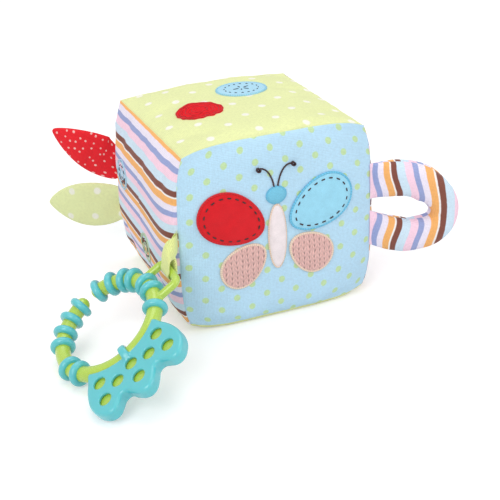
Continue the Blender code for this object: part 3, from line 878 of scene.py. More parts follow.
def makeBlock():
    cushion = cubeOfShares("stuffedBlock", block["cuts"])
    shares = np.clip(points(cushion), -1, 1)
    panelUv(cushion, shares)
    keepAttribute(cushion, "share", shares)
    onSeam = (np.abs(shares) > 0.9999).sum(1) >= 2
    edges = readWhole(cushion.data.edges, "vertices", 2).reshape(-1, 2)
    crease = cushion.data.attributes.new("crease_edge", "FLOAT", "EDGE")
    crease.data.foreach_set("value", onSeam[edges].all(1).astype(np.float32))
    form = pillow(shares)
    movePoints(cushion, form)
    inward = vertexNormals(cushion) * block["slack"]
    inward[onSeam] = 0
    movePoints(cushion, form - inward)
    blowOut(cushion, onSeam)
    applyModifier(cushion, "SUBSURF", levels=block["finerLevels"], render_levels=block["finerLevels"])

    shares = np.clip(readAttribute(cushion, "share"), -1, 1)
    flat = points(cushion)
    normals = vertexNormals(cushion)
    axisOf = np.abs(shares).argmax(1)
    gaps = (1 - np.abs(shares)) * np.array(block["halfSizes"])
    _, near, second = np.sort(gaps, axis=1).T
    depth = np.exp(-near / block["tuckWidth"])
    corner = depth * np.exp(-second / (3 * block["tuckWidth"]))
    move = block["proud"] - (block["tuck"] + block["proud"]) * depth
    move += block["tuck"] * block["cornerShare"] * corner
    move += puckers(flat, shares, gaps, axisOf)
    lumps = block["lump"] * noiseAll(flat, block["lumpWave"], block["lumpSeed"])
    move += lumps * (1 - np.exp(-near / block["lumpReach"])) * np.array(block["lumpShares"])[axisOf]
    roll = gaps[:, 1] / block["sideRollReach"]
    rolled = np.where((shares[:, 0] < -0.9999) & (shares[:, 1] < 0), roll * np.exp(1 - roll), 0)
    move += block["sideRoll"] * rolled * (1 - np.exp(-gaps[:, 2] / block["sideRollEnd"]))
    shaped = flat + normals * move[:, None]
    shaped[:, 2] = np.maximum(shaped[:, 2], block["lowest"])
    low = (shares[:, 1] < 0) & (shares[:, 2] < 0)
    raised = low * np.exp(-(gaps[:, 1:] / block["frontRiseReach"]).sum(1))
    shaped[:, 2] += block["frontRise"] * raised
    movePoints(cushion, shaped)
    inwards = np.where(near < 0.01 * mm, block["seamCloth"], 1.0) * block["cloth"]
    keepAttribute(cushion, "clothDepth", normals * inwards[:, None])
    return cushion


def splitPanels(cushion):
    made = {}
    sides = readWhole(cushion.data.polygons, "material_index")
    for name, (_, axis, side) in panels.items():
        panel = cushion.copy()
        panel.data = cushion.data.copy()
        panel.name = name
        panel.data.name = name
        bpy.context.collection.objects.link(panel)
        editAll(panel)
        bpy.ops.mesh.select_mode(type="FACE")
        bpy.ops.mesh.select_all(action="DESELECT")
        leaveEditMode()
        panel.data.polygons.foreach_set("select", sides != axis * 2 + (side > 0))
        selectOnly(panel)
        bpy.ops.object.mode_set(mode="EDIT")
        bpy.ops.mesh.delete(type="FACE")
        leaveEditMode()
        closeUnder(panel, points(panel) - readAttribute(panel, "clothDepth"))
        panel.data.polygons.foreach_set("material_index", np.zeros(len(panel.data.polygons), np.int32))
        made[name] = panel
    bpy.data.objects.remove(cushion)
    return made


made = splitPanels(makeBlock())
width, depth, height = (2 * s / mm for s in block["halfSizes"])
finishes = {
    "leftPanel": stripedCotton("stripedCottonLeft", depth, height, 1, 8.3),
    "rightPanel": stripedCotton("stripedCottonRight", depth, height, 1, 12.3),
    "frontPanel": dottedCotton("blueDottedCottonFront", width, height, "blue"),
    "backPanel": dottedCotton("blueDottedCottonBack", width, height, "blue"),
    "topPanel": dottedCotton("greenDottedCottonTop", width, depth, "green"),
    "bottomPanel": dottedCotton("greenDottedCottonBottom", width, depth, "green"),
}
slotsByAxis = ("striped_cotton", "blue_dotted_cotton", "green_dotted_cotton")
for name, panel in made.items():
    node, axis, _ = panels[name]
    giveFinish(panel, finishes[name], slotsByAxis[axis], "block", node)
print("block made")


# What lies on a panel follows its blown-up cloth

surfaces = {}
for name, panel in made.items():
    surfaces[name] = BVHTree.FromObject(panel, bpy.context.evaluated_depsgraph_get())


def onFront(across, up, lift):
    hit = surfaces["frontPanel"].ray_cast(Vector((across, -0.2, up)), Vector((0, 1, 0)))[0]
    return np.array((across, hit.y - lift, up))


def onTop(across, back, lift):
    hit = surfaces["topPanel"].ray_cast(Vector((across, back, 0.3)), Vector((0, 0, -1)))[0]
    return np.array((across, back, hit.z + lift))


def onLeft(back, up, lift):
    hit = surfaces["leftPanel"].ray_cast(Vector((-0.2, back, up)), Vector((1, 0, 0)))[0]
    return np.array((hit.x - lift, back, up))


knit = {"column": 3.3 * mm, "relief": 0.3 * mm}
stitch = {"dash": 3.3 * mm, "gap": 1.7 * mm, "thread": 0.42 * mm, "dip": 0.45 * mm, "inset": 0.83}
satin = {"width": 0.85 * mm, "step": 0.22 * mm, "ridge": 0.12, "share": 0.985}
sewing = {
    "loopPoints": 160,
    "fineStep": 0.35 * mm,
    "endSize": 0.45,
    "raggedWave": 3.5,
    "rumpleWave": 9 * mm,
}
antenna = {
    "steps": 40,
    "root": 1.2 * mm,
    "reach": 9.5 * mm,
    "foot": 27.4 * mm,
    "rise": 12.5 * mm,
    "bend": 1.75,
    "knot": 0.9 * mm,
    "thread": 0.5 * mm,
}
motif = (-3 * mm, 57 * mm)
outFront = np.array((0.0, -1.0, 0.0))
outTop = np.array((0.0, 0.0, 1.0))
outLeft = np.array((-1.0, 0.0, 0.0))


def wingSpec(side, node, slotName, out, up, **more):
    place = (motif[0] + side * out, motif[1] + up)
    return {"side": side, "node": node, "slot": slotName, "place": place, "taper": 0.18, **more}


feltWing = {"out": 27.5 * mm, "up": 12.5 * mm, "length": 42 * mm, "width": 30 * mm, "angle": 28,
            "thick": 1.1 * mm, "puff": 0.7 * mm, "rumple": 0.35 * mm}
knitWing = {"out": 21 * mm, "up": -17 * mm, "length": 30 * mm, "width": 23 * mm, "angle": -38,
            "thick": 1 * mm, "puff": 0.9 * mm, "knitted": True, "sides": 144, "rings": 36}
appliques = {
    "redWing": wingSpec(-1, "red_wing", "red_felt", **feltWing),
    "blueWing": wingSpec(1, "blue_wing", "blue_felt", **feltWing),
    "knitWingLeft": wingSpec(-1, "knit_wing_left", "brown_knit", **knitWing),
    "knitWingRight": wingSpec(1, "knit_wing_right", "brown_knit", **knitWing),
    "fleeceBody": {"node": "fleece_body", "slot": "pale_fleece", "place": (motif[0], motif[1] - 3 * mm),
                   "length": 40 * mm, "width": 11 * mm, "angle": 90, "thick": 1.2 * mm,
                   "puff": 1.6 * mm, "roundFrom": 0.8, "rumple": 0.3 * mm},
    "butterflyHead": {"node": "butterfly_head", "slot": "blue_felt",
                      "place": (motif[0], motif[1] + 22.6 * mm), "length": 12 * mm, "width": 10 * mm,
                      "thick": 0.9 * mm, "puff": 1.1 * mm, "roundFrom": 0.8},
    "redPatch": {"node": "red_patch", "slot": "red_thread", "place": (-26.5 * mm, -7 * mm),
                 "length": 27.5 * mm, "width": 27.5 * mm, "thick": 0.5 * mm, "puff": 0.3 * mm,
                 "ragged": 0.13},
    "bluePatch": {"node": "blue_patch", "slot": "pale_blue_thread", "place": (10.5 * mm, 18.2 * mm),
                  "length": 32.5 * mm, "width": 28 * mm, "thick": 0.5 * mm, "puff": 0.3 * mm,
                  "ragged": 0.02},
}


def eggDrawing(spec, u, v):
    # Where a point of the unit disc lies on the panel; a ragged outline strays from the egg
    wave = sewing["raggedWave"]
    stray = noise.noise(Vector((u * wave, v * wave, 2.2)))
    grow = 1 + spec.get("ragged", 0) * math.hypot(u, v) * stray
    side = spec.get("side", 1)
    along = spec["length"] / 2 * u * grow * side
    aside = spec["width"] / 2 * v * grow * (1 + spec.get("taper", 0) * u * grow)
    angle = math.radians(spec.get("angle", 0)) * side
    across = spec["place"][0] + along * math.cos(angle) - aside * math.sin(angle)
    return across, spec["place"][1] + along * math.sin(angle) + aside * math.cos(angle)


def loftOf(spec, r):
    # Height above the panel at a share of the way from the middle to the edge
    roundFrom = spec.get("roundFrom", 0.93)
    t = max(0.0, (r - roundFrom) / (1 - roundFrom))
    edge = math.sqrt(max(0.0, 1 - min(t, 1) ** 2))
    return 0.1 * mm + spec["thick"] * (0.25 + 0.75 * edge) + spec["puff"] * (1 - min(r, 1) ** 2.5)


def knitRelief(x):
    # The columns of a knitted piece stand up between furrows, 0 to 1
    aside = abs((x / knit["column"]) % 1 - 0.5)
    return 1 - (4 * (aside - 0.25)) ** 2


def discOfRings(name, sides, rings):
    obj = addShape(name, bpy.ops.mesh.primitive_circle_add, vertices=sides, radius=1, fill_type="NGON")
    editAll(obj)
    for _ in range(rings - 1):
        bpy.ops.mesh.inset(thickness=1 / rings, depth=0)
    bpy.ops.mesh.poke()
    leaveEditMode()
    return obj


def makeApplique(name, onPanel, finish):
    spec = appliques[name]
    obj = discOfRings(name, spec.get("sides", 96), spec.get("rings", 14))
    uv = points(obj)
    upper, lower, drawn = [], [], []
    for u, v, _ in uv:
        r = math.hypot(u, v)
        across, up = eggDrawing(spec, u, v)
        lift = loftOf(spec, r)
        if spec.get("knitted"):
            lift += knit["relief"] * (knitRelief(across - spec["place"][0]) - 0.5) * min(1, (1 - r) * 12)
        drawn.append((across - spec["place"][0], up - spec["place"][1]))
        if spec.get("rumple"):
            rumple = noise.noise(Vector((across, up, 0)) / sewing["rumpleWave"])
            lift += spec["rumple"] * rumple * min(1, (1 - r) * 5)
        upper.append(onPanel(across, up, lift))
        lower.append(onPanel(across, up, 0.05 * mm))
    movePoints(obj, upper)
    if spec.get("knitted"):
        drawn = np.array(drawn) / (100 * mm)
        writeUv(obj, drawn[:, 0], drawn[:, 1])
    else:
        writeUv(obj, uv[:, 0] / 2 + 0.5, uv[:, 1] / 2 + 0.5)
    closeUnder(obj, lower)
    giveFinish(obj, finish, spec["slot"], "block", spec["node"])


def threadMesh(name, paths, radius, closed=False, ridge=0.0, taper=False):
    # Threads along paths of points; taper narrows the ends so that each stitch dives into the cloth
    curve = newCurve(
        name, dimensions="3D", bevel_depth=radius, bevel_resolution=2, use_fill_caps=not closed)
    for path in paths:
        sizes = [1 - ridge * (index % 2) for index in range(len(path))]
        if taper:
            sizes[0] = sizes[-1] = sewing["endSize"]
        addLine(curve, path, sizes, closed)
    obj = toMesh(curve, name, 1e-5)
    smoothShade(obj)
    return obj


def evenly(loop, step):
    # Points at equal steps round a closed line of points
    line = np.array(loop + loop[:1], float)
    run = np.concatenate([[0], np.cumsum(np.linalg.norm(np.diff(line, axis=0), axis=1))])
    count = max(3, int(round(run[-1] / step)))
    marks = np.linspace(0, run[-1], count + 1)[:-1]
    return np.stack([np.interp(marks, run, line[:, k]) for k in range(3)], 1), run[-1]


def eggLoop(spec, share, onPanel, lift):
    loop = []
    for step in range(sewing["loopPoints"]):
        angle = math.tau * step / sewing["loopPoints"]
        across, up = eggDrawing(spec, share * math.cos(angle), share * math.sin(angle))
        loop.append(onPanel(across, up, loftOf(spec, share) + lift))
    return loop


def dashes(loop, dash, gap, dip, outward):
    fine, total = evenly(loop, sewing["fineStep"])
    count = max(1, int(round(total / (dash + gap))))
    per = len(fine) / count
    length = max(4, int(round(per * dash / (dash + gap))))
    made = []
    for index in range(count):
        start = int(round(index * per))
        path = [fine[(start + k) % len(fine)].copy() for k in range(length)]
        path = [path[int(round(k * (length - 1) / 4))] for k in range(5)]
        path[0] -= outward * dip
        path[-1] -= outward * dip
        made.append(path)
    return made


def sewLoops(name, spec, onPanel, shares, lift, radius, ridge, finish, slotName, step=satin["step"]):
    loops = [evenly(eggLoop(spec, share, onPanel, lift), step)[0] for share in shares]
    giveFinish(threadMesh(name, loops, radius, closed=True, ridge=ridge), finish, slotName, "block")


def sewStitches(name, paths, radius, finish, slotName):
    giveFinish(threadMesh(name, paths, radius, taper=True), finish, slotName, "block")


def makeButterfly():
    dark = threadFinish("darkThread", "#4B3437")
    peach = threadFinish("peachThread", "#F6DCC6")
    knitted = knitFinish("brownKnit", "#EFC0BA")
    for name, finish in (
            ("redWing", feltFinish("redFelt", "#DE2029")),
            ("blueWing", feltFinish("blueFelt", "#A0DEF6")),
            ("knitWingLeft", knitted), ("knitWingRight", knitted),
            ("fleeceBody", feltFinish("paleFleece", "#F6EAEC")),
            ("butterflyHead", threadFinish("blueSatin", "#7FD0EE", 0.4, 1, 12, 10))):
        makeApplique(name, onFront, finish)
    for wing, colour in (("redWing", "#D81F2A"), ("blueWing", "#74C8EA")):
        spec = appliques[wing]
        loop = eggLoop(spec, stitch["inset"], onFront, 0.12 * mm)
        paths = dashes(loop, stitch["dash"], stitch["gap"], stitch["dip"], outFront)
        sewStitches(wing + "Stitches", paths, stitch["thread"], dark, "red_felt")
        wingThread = threadFinish(wing + "Thread", colour)
        sewLoops(wing + "Edge", spec, onFront, [satin["share"]], -0.25 * mm, 0.7 * mm, satin["ridge"],
                 wingThread, "red_felt")
    # The head's edge is sewn with the blue wing's thread
    for name, radius, finish in (
            ("knitWingLeft", satin["width"], peach), ("knitWingRight", satin["width"], peach),
            ("fleeceBody", 0.6 * mm, peach), ("butterflyHead", 0.6 * mm, wingThread)):
        sewLoops(name + "Edge", appliques[name], onFront, [satin["share"]], -0.3 * mm, radius,
                 satin["ridge"], finish, "pale_fleece")
    for side, name in ((-1, "antennaLeft"), (1, "antennaRight")):
        path = []
        for step in range(antenna["steps"]):
            t = step / (antenna["steps"] - 1)
            across = motif[0] + side * (antenna["root"] + antenna["reach"] * t ** 1.5)
            up = motif[1] + antenna["foot"] + antenna["rise"] * math.sin(t * antenna["bend"])
            path.append(onFront(across, up, 0.25 * mm + 0.12 * mm * math.sin(step * 1.6)))
        knot = antenna["knot"]
        turns = [path[-1] + np.array((math.cos(a) * knot, -0.1 * mm * k, math.sin(a) * knot))
                 for k, a in enumerate(np.linspace(0, 2.2 * math.tau, 26))]
        thread = threadMesh(name, [path, turns], antenna["thread"], ridge=0.1)
        giveFinish(thread, dark, "brown_knit", "block")
    print("butterfly made")


def makePatches():
    spec = appliques["redPatch"]
    makeApplique("redPatch", onTop, woundThreads("redThreads", "#E81E28", 14, 0.9, gashes=0.5))
    sewLoops("redPatchRings", spec, onTop, (0.34, 0.6, 0.82), -0.1 * mm, 0.3 * mm, 0.35,
             threadFinish("deepRedThread", "#B8141E"), "red_thread", 0.7 * mm)
    sewLoops("redPatchEdge", spec, onTop, [0.95], -0.2 * mm, 0.6 * mm, 0.2,
             threadFinish("redEdgeThread", "#D21E28"), "red_thread")

    spec = appliques["bluePatch"]
    makeApplique("bluePatch", onTop, woundThreads("paleBlueThreads", "#B4E0F4", 17, 0.8))
    sewLoops("bluePatchEdge", spec, onTop, [0.95], -0.3 * mm, 0.75 * mm, 0.18,
             threadFinish("blueEdgeThread", "#9ED9F4"), "pale_blue_thread")
    paths = dashes(eggLoop(spec, 0.66, onTop, 0.1 * mm), 2.4 * mm, 1.5 * mm, 0.4 * mm, outTop)
    for turn, reach in ((0.4, 0.95), (1.7, 0.6), (3.3, 0.9), (4.4, 0.55), (5.5, 0.75)):
        line = [(spec["place"][0] + (1.5 + reach * k) * math.cos(turn) * mm,
                 spec["place"][1] + (1.5 + reach * k) * math.sin(turn) * mm) for k in range(6)]
        path = [onTop(x, y, loftOf(spec, 0.2) + 0.1 * mm) for x, y in line]
        path[0] -= outTop * 0.3 * mm
        path[-1] -= outTop * 0.3 * mm
        paths.append(path)
    navy = threadFinish("navyThread", "#2F4A66")
    sewStitches("bluePatchStitches", paths, 0.32 * mm, navy, "pale_blue_thread")
    print("patches made")


rounds = {
    "blueRound": {"place": (32 * mm, 69 * mm), "size": 19 * mm, "thread": "#BFE2F5", "dark": "#5F6675"},
    "greenRound": {"place": (-9 * mm, 37 * mm), "size": 18 * mm, "thread": "#C9DFC0", "dark": "#4D5136"},
}


def makeRounds():
    # Two rings embroidered through the striped cloth of the left panel
    for name, spec in rounds.items():
        egg = {"place": spec["place"], "length": spec["size"], "width": spec["size"],
               "thick": 0.0, "puff": 0.0, "ragged": 0.1}
        sewLoops(name + "Rings", egg, onLeft, (1, 0.86, 0.36), 0.15 * mm, 0.42 * mm, 0.2,
                 threadFinish(name + "Thread", spec["thread"]), "striped_cotton", 0.45 * mm)
        paths = dashes(eggLoop(egg, 0.62, onLeft, 0.12 * mm), 3.4 * mm, 1.5 * mm, 0.45 * mm, outLeft)
        dark = threadFinish(name + "DarkThread", spec["dark"])
        sewStitches(name + "Stitches", paths, 0.4 * mm, dark, "striped_cotton")
    print("rounds made")


makeButterfly()
makePatches()
makeRounds()


# Stuffed handle: a U cut from striped cloth, in two layers sewn along both edges

handle = {
    "seam": (61.2 * mm, -56.45 * mm),
    "turn": -6,
    "reach": 55.8 * mm,
    "height": 58.7 * mm,
    "armWidth": 22.4 * mm,
    "endWidth": 18.3 * mm,
    "endLength": 35.5 * mm,
    "holeEndLength": 18 * mm,
    "pinch": 2.6 * mm,
    "thickness": 15 * mm,
    "rootThickness": 3.4 * mm,
    "swellLength": 20 * mm,
    "midHeight": 58.2 * mm,
    "droop": 0.22,
    "squareness": 0.82,
    "clearance": 0.6 * mm,
    "cover": (0, 1, 190, 48, 0.032),                # inset, relief, rows, sides, past the ends
    "groove": 0.55 * mm,
    "grooveWidth": 0.13,
    "pucker": 0.55 * mm,
    "puckerWave": 5 * mm,
    "outerPucker": 0.4,         # the outer seam puckers less than the inner one
    "lump": 0.7 * mm,
    "lumpWave": 17 * mm,
    "layerShift": 4 * mm,       # the two layers' prints don't meet at the seams
    "stripeRun": (1.7, 43.4, 6.1, -3.6),
    "stripeLean": (14.6, 18.4, -30.7),
    "stripeReturn": (14.6, -5.8),
    "stuffing": (1.7 * mm, 0.3, 60, 20, -0.04),     # inset, relief, rows, sides, past the ends
}


def handleEdge(share, half, reach, endLength):
    side = 1 - 2 * share
    arm = reach - endLength
    if abs(side) > 0.5:
        out = 2 * (1 - abs(side))
        height = half - handle["pinch"] * (1 - out) ** 2
        return np.array((handle["clearance"] + (arm - handle["clearance"]) * out, 0,
                         math.copysign(height, side)))
    angle = math.pi * side
    return np.array((arm + endLength * math.cos(angle), 0, half * math.sin(angle)))


def squared(value):
    return math.copysign(abs(value) ** handle["squareness"], value)


def handlePoint(share, around, inset, relief):
    outer = handleEdge(share, handle["height"] / 2, handle["reach"], handle["endLength"])
    inner = handleEdge(share, handle["height"] / 2 - handle["armWidth"],
                       handle["reach"] - handle["endWidth"], handle["holeEndLength"])
    middle = (outer + inner) / 2
    half = np.linalg.norm(outer - inner) / 2
    swell = math.sqrt(min(1, max(0, middle[0] - handle["clearance"]) / handle["swellLength"]))
    thickness = handle["rootThickness"] + (handle["thickness"] - handle["rootThickness"]) * swell
    fromSeam = abs(math.sin(around))
    nearest = outer if math.cos(around) > 0 else inner
    layer = Vector((0, 3.3 if math.sin(around) > 0 else 8.8, 0))
    ripple = noise.noise(Vector(nearest / handle["puckerWave"]) + layer)
    ripple *= 2 * handle["pucker"] * math.exp(-fromSeam / 0.5) * (1 - math.exp(-fromSeam / 0.1))
    ripple *= 1.0 if math.cos(around) < 0 else handle["outerPucker"]
    lumps = noise.noise(Vector(middle / handle["lumpWave"]) + Vector((0, math.sin(around), 1)))
    ripple += handle["lump"] * lumps
    groove = handle["groove"] * math.exp(-fromSeam / handle["grooveWidth"])
    move = (ripple - groove) * relief * min(1, swell + 0.15)
    wide = squared(math.cos(around)) * (half - inset + move)
    deep = squared(math.sin(around)) * (thickness / 2 - inset + move)
    drop = np.array((0, deep, -handle["droop"] * middle[0]))
    return middle + (outer - inner) / (2 * half) * wide + drop, middle


def stripeRun(distance, height):
    # The cut cloth's straight stripes lean and curve where it is gathered round the stuffing
    share, away = distance / (50 * mm), abs(height) / (30 * mm)
    straight, lean, back = [sum(k * share ** power for power, k in enumerate(handle[key]))
                            for key in ("stripeRun", "stripeLean", "stripeReturn")]
    return (straight + away ** 2 * lean - away ** 4 * back) * mm


def handleTube(name, inset, relief, rows, sides, extra):
    obj = addGrid(name, rows, sides, 1)
    flat = points(obj)
    places, printed = [], []
    for u, v, _ in flat:
        share = (u + 0.5) * (1 + 2 * extra) - extra
        place, middle = handlePoint(share, math.tau * v, inset, relief)
        above = place[2] + handle["droop"] * middle[0]
        printed.append((stripeRun(place[0], above), place[2] + 50 * mm))
        x, y, z = outFromSeam(handle, handle["turn"], place)
        places.append((x, y, z + handle["midHeight"]))
    movePoints(obj, places)
    return obj, flat, np.array(printed)


def capTube(obj):
    editAll(obj)
    bpy.ops.mesh.select_mode(type="VERT")
    bpy.ops.mesh.remove_doubles(threshold=1e-6)
    bpy.ops.mesh.select_all(action="DESELECT")
    bpy.ops.mesh.select_non_manifold()
    bpy.ops.mesh.fill_holes(sides=0)
    makeNormalsOutward(obj)
    smoothShade(obj, 60)


def makeHandle():
    cover, flat, printed = handleTube("handleCover", *handle["cover"])
    # The print is drawn per face corner, so that front and back layers each keep their own
    mesh = cover.data
    middleV = np.array([flat[list(p.vertices), 1].mean() for p in mesh.polygons])
    uv = printed[readWhole(mesh.loops, "vertex_index")]
    uv[:, 0] -= np.where(np.repeat(middleV > 0, 4), handle["layerShift"], 0)
    setUv(cover, uv * 10)
    capTube(cover)
    finish = stripedCotton("stripedCottonHandle", 100, 100, 0, 0.0)
    giveFinish(cover, finish, "striped_cotton", "handle", "handle_cover")

    stuffing, _, _ = handleTube("handleStuffing", *handle["stuffing"])
    capTube(stuffing)
    fibre = feltFinish("stuffingFibre", "#F4F2EC")
    giveFinish(stuffing, fibre, "polyester_fibre", "handle", "handle_filling")
    print("handle made")


makeHandle()


# Leaf tags: two layers sewn along the outline, with crackling film between them

leaf = {
    "seam": (-61.2 * mm, 56.45 * mm),
    "rootHalf": 11 * mm,
    "tipHalf": 0.5 * mm,
    "fullness": 0.65,
    "rootShare": 0.3,
    "bend": 3 * mm,
    "clearance": 0.6 * mm,
    "intoSeam": 2 * mm,
    "ply": 0.56 * mm,
    "plyGap": 0.06 * mm,
    "puff": 2.0 * mm,
    "crinkle": 0.55 * mm,
    "crinkleWave": 6 * mm,
    "filmGap": 0.25 * mm,
    "long": 64,
    "wide": 28,
}
leaves = {
    "redLeaf": {"height": 68.2 * mm, "swell": 5.7 * mm, "belly": 0.9, "length": 44.3 * mm,
                "rise": 28.3, "turn": 151},
    "greenLeaf": {"height": 38.7 * mm, "swell": 8.5 * mm, "belly": 1.16, "length": 50.3 * mm,
                  "rise": -5, "turn": 139},
}


def smoothStep(value):
    value = min(max(value, 0), 1)
    return value * value * (3 - 2 * value)


def leafHalf(spec, inside):
    swell = max(0, math.sin(math.pi * min(inside, 1) ** spec["belly"])) ** leaf["fullness"]
    return leaf["rootHalf"] * (1 - inside) + spec["swell"] * swell + leaf["tipHalf"]


def leafPoint(spec, share, across, lift):
    rise = math.radians(spec["rise"])
    forward = np.array((math.cos(rise), 0, math.sin(rise)))
    upward = np.array((-math.sin(rise), 0, math.cos(rise)))
    inside = max(share, 0)
    turned = smoothStep(inside / leaf["rootShare"])
    aside = np.array((0, 0, 1 - turned)) + upward * turned
    aside = aside / np.linalg.norm(aside) * leafHalf(spec, inside) * across
    bend = leaf["bend"] * math.sin(math.pi * inside)
    root = np.array((leaf["clearance"], bend + lift, spec["height"]))
    return outFromSeam(leaf, spec["turn"], root + forward * (spec["length"] * share) + aside)


def makeLeafPly(name, spec, side, finish, slotName, body, node):
    obj = addGrid(name, leaf["long"], leaf["wide"], 2)
    rootShare = leaf["intoSeam"] / spec["length"]
    outer, inner, printed = [], [], []
    for u, v, _ in points(obj):
        share = -rootShare + (1 + rootShare) * (u + 1) / 2
        v = math.copysign(1 - (1 - abs(v)) ** 1.5, v)
        inside = max(share, 0)
        pad = (1 - v * v) ** 0.6 * math.sin(math.pi * min(1, inside * 0.93 + 0.05)) ** 0.7
        wave = Vector((inside * spec["length"] / leaf["crinkleWave"], v * 2.2, side * 4.0 + spec["turn"]))
        puff = (leaf["puff"] + leaf["crinkle"] * noise.noise(wave)) * pad
        film = leaf["filmGap"] * min(1, (1 - abs(v)) * 8)
        outer.append(leafPoint(spec, share, v, side * (leaf["ply"] + film + puff)))
        inner.append(leafPoint(spec, share, v, side * (leaf["plyGap"] + film)))
        printed.append((spec["length"] * share, leafHalf(spec, inside) * v))
    movePoints(obj, outer)
    printed = np.array(printed) / (100 * mm)
    writeUv(obj, printed[:, 0], printed[:, 1])
    closeUnder(obj, inner)
    giveFinish(obj, finish, slotName, body, node)


def makeLeaves():
    red = dottedCotton("redDottedCotton", 100, 100, "red")
    green = dottedCotton("greenDottedCottonLeaf", 100, 100, "leafGreen")
    for name, finish, slotName, body in (
            ("redLeaf", red, "red_dotted_cotton", "red_leaf"),
            ("greenLeaf", green, "green_dotted_cotton", "green_leaf")):
        for side, layer in ((1, "Front"), (-1, "Back")):
            node = body + "_" + layer.lower()
            makeLeafPly(name + layer, leaves[name], side, finish, slotName, body, node)
    print("leaves made")


makeLeaves()


# Teether: green ring, eye and plate in one, with a butterfly grip and ribs of softer rubber

teether = {
    "bar": (-70 * mm, -67.3 * mm, 49.394 * mm),
    "turn": 89,
    "lean": 34,
    "roll": -6.4,
    "ringRadius": 30.4 * mm,
    "rodRadius": 4.4 * mm,
    "barReach": 45 * mm,
    "barRadius": 2.4 * mm,
    "eyeHalfWidth": 10.3 * mm,
    "eyeCorner": 3.5 * mm,
    "gap": 3.8 * mm,
    "ribAngles": (102, 119.5, 136, 149, 170.5, 184.5, 210, 76, 59, 42, 25, -11.5, -29),
    "ribWidth": 2.25 * mm,
    "ribMiddle": 4.85 * mm,
    "ribLean": 5,
    "gripReach": 32.6 * mm,
    "gripHalfSpan": 28.6 * mm,
    "gripHalfThickness": 4 * mm,
    "gripRound": 1.9 * mm,
    "gripRootAngle": 42,
    "plateHalfThickness": 1.8 * mm,
    "plateInset": 3 * mm,
    "plateRound": 0.2 * mm,
    "plateClearance": 0.25 * mm,
    "rodClearance": 0.2 * mm,
    "holeRadius": 3.7 * mm,
    "bandRise": 2.5 * mm,
    "bandRound": 1.3 * mm,
    "remesh": 0.42 * mm,
    "outline": [(0, 0.895), (0.25, 1.02), (0.53, 1.055), (0.74, 0.965), (0.86, 0.8), (0.85, 0.65),
                (0.77, 0.54), (0.7, 0.44), (0.71, 0.35), (0.825, 0.26), (0.96, 0.13)],
    "holes": [(0.3, 0), (0.65, 0), (0.4, -0.37), (0.16, -0.68), (0.545, -0.735),
              (0.4, 0.37), (0.16, 0.68), (0.545, 0.735)],
}
teetherTurn = (
    Matrix.Rotation(math.radians(teether["turn"]), 4, "Z")
    @ Matrix.Rotation(math.radians(-teether["lean"]), 4, "X")
    @ Matrix.Rotation(math.radians(teether["roll"]), 4, "Y"))
teetherFrame = Matrix.Translation(teether["bar"]) @ teetherTurn


def ringPoint(angle):
    radius = teether["ringRadius"]
    return Vector((radius * math.sin(angle), teether["barReach"] + radius * math.cos(angle), 0))


def gripPoint(reach, span):
    return Vector((-teether["ringRadius"] - teether["gripReach"] * reach,
                   teether["barReach"] + teether["gripHalfSpan"] * span, 0))


def gripOutline():
    outer = [gripPoint(*shares) for shares in teether["outline"]]
    other = [gripPoint(reach, -span) for reach, span in reversed(teether["outline"])]
    inner = [ringPoint(math.radians(-90 + teether["gripRootAngle"] * step / 3)) for step in range(-3, 4)]
    return outer + [gripPoint(1, 0)] + other + inner


def rodMesh(name, path, radius, roundEnds):
    path = [Vector(p) for p in path]
    shares = [1.0] * len(path)
    if roundEnds:
        for _ in range(2):
            # The last points give way to narrowing ones; then the same from the other end
            tip, back = path[-1].copy(), (path[-1] - path[-2]).normalized()
            added = [(tip - back * radius * (1 - math.sin(a)), math.cos(a))
                     for a in np.linspace(0.25, 1.45, 6)]
            path = (path[:-4] + [p for p, _ in added])[::-1]
            shares = (shares[:-4] + [s for _, s in added])[::-1]
    curve = newCurve(name, dimensions="3D", bevel_depth=radius, bevel_resolution=8, use_fill_caps=True)
    addLine(curve, path, shares)
    return toMesh(curve, name)


def outlineMesh(name, halfThickness, rounding, inset):
    curve = newCurve(name, dimensions="2D", fill_mode="BOTH", extrude=halfThickness - rounding,
                     bevel_depth=rounding, bevel_resolution=5, offset=-inset - rounding, resolution_u=6)
    outline = gripOutline()
    spline = curve.splines.new("BEZIER")
    spline.bezier_points.add(len(outline) - 1)
    spline.use_cyclic_u = True
    for bezier, place in zip(spline.bezier_points, outline):
        bezier.co = place
        bezier.handle_left_type = "AUTO"
        bezier.handle_right_type = "AUTO"
    return toMesh(curve, name)


def finishMoulding(obj, smoothings, finish, slotName, node):
    applyModifier(obj, "REMESH", mode="VOXEL", voxel_size=teether["remesh"])
    applyModifier(obj, "SMOOTH", factor=0.5, iterations=smoothings)
    smoothShade(obj)
    obj.matrix_world = teetherFrame
    settle(obj)
    giveFinish(obj, finish, slotName, "teether", node)


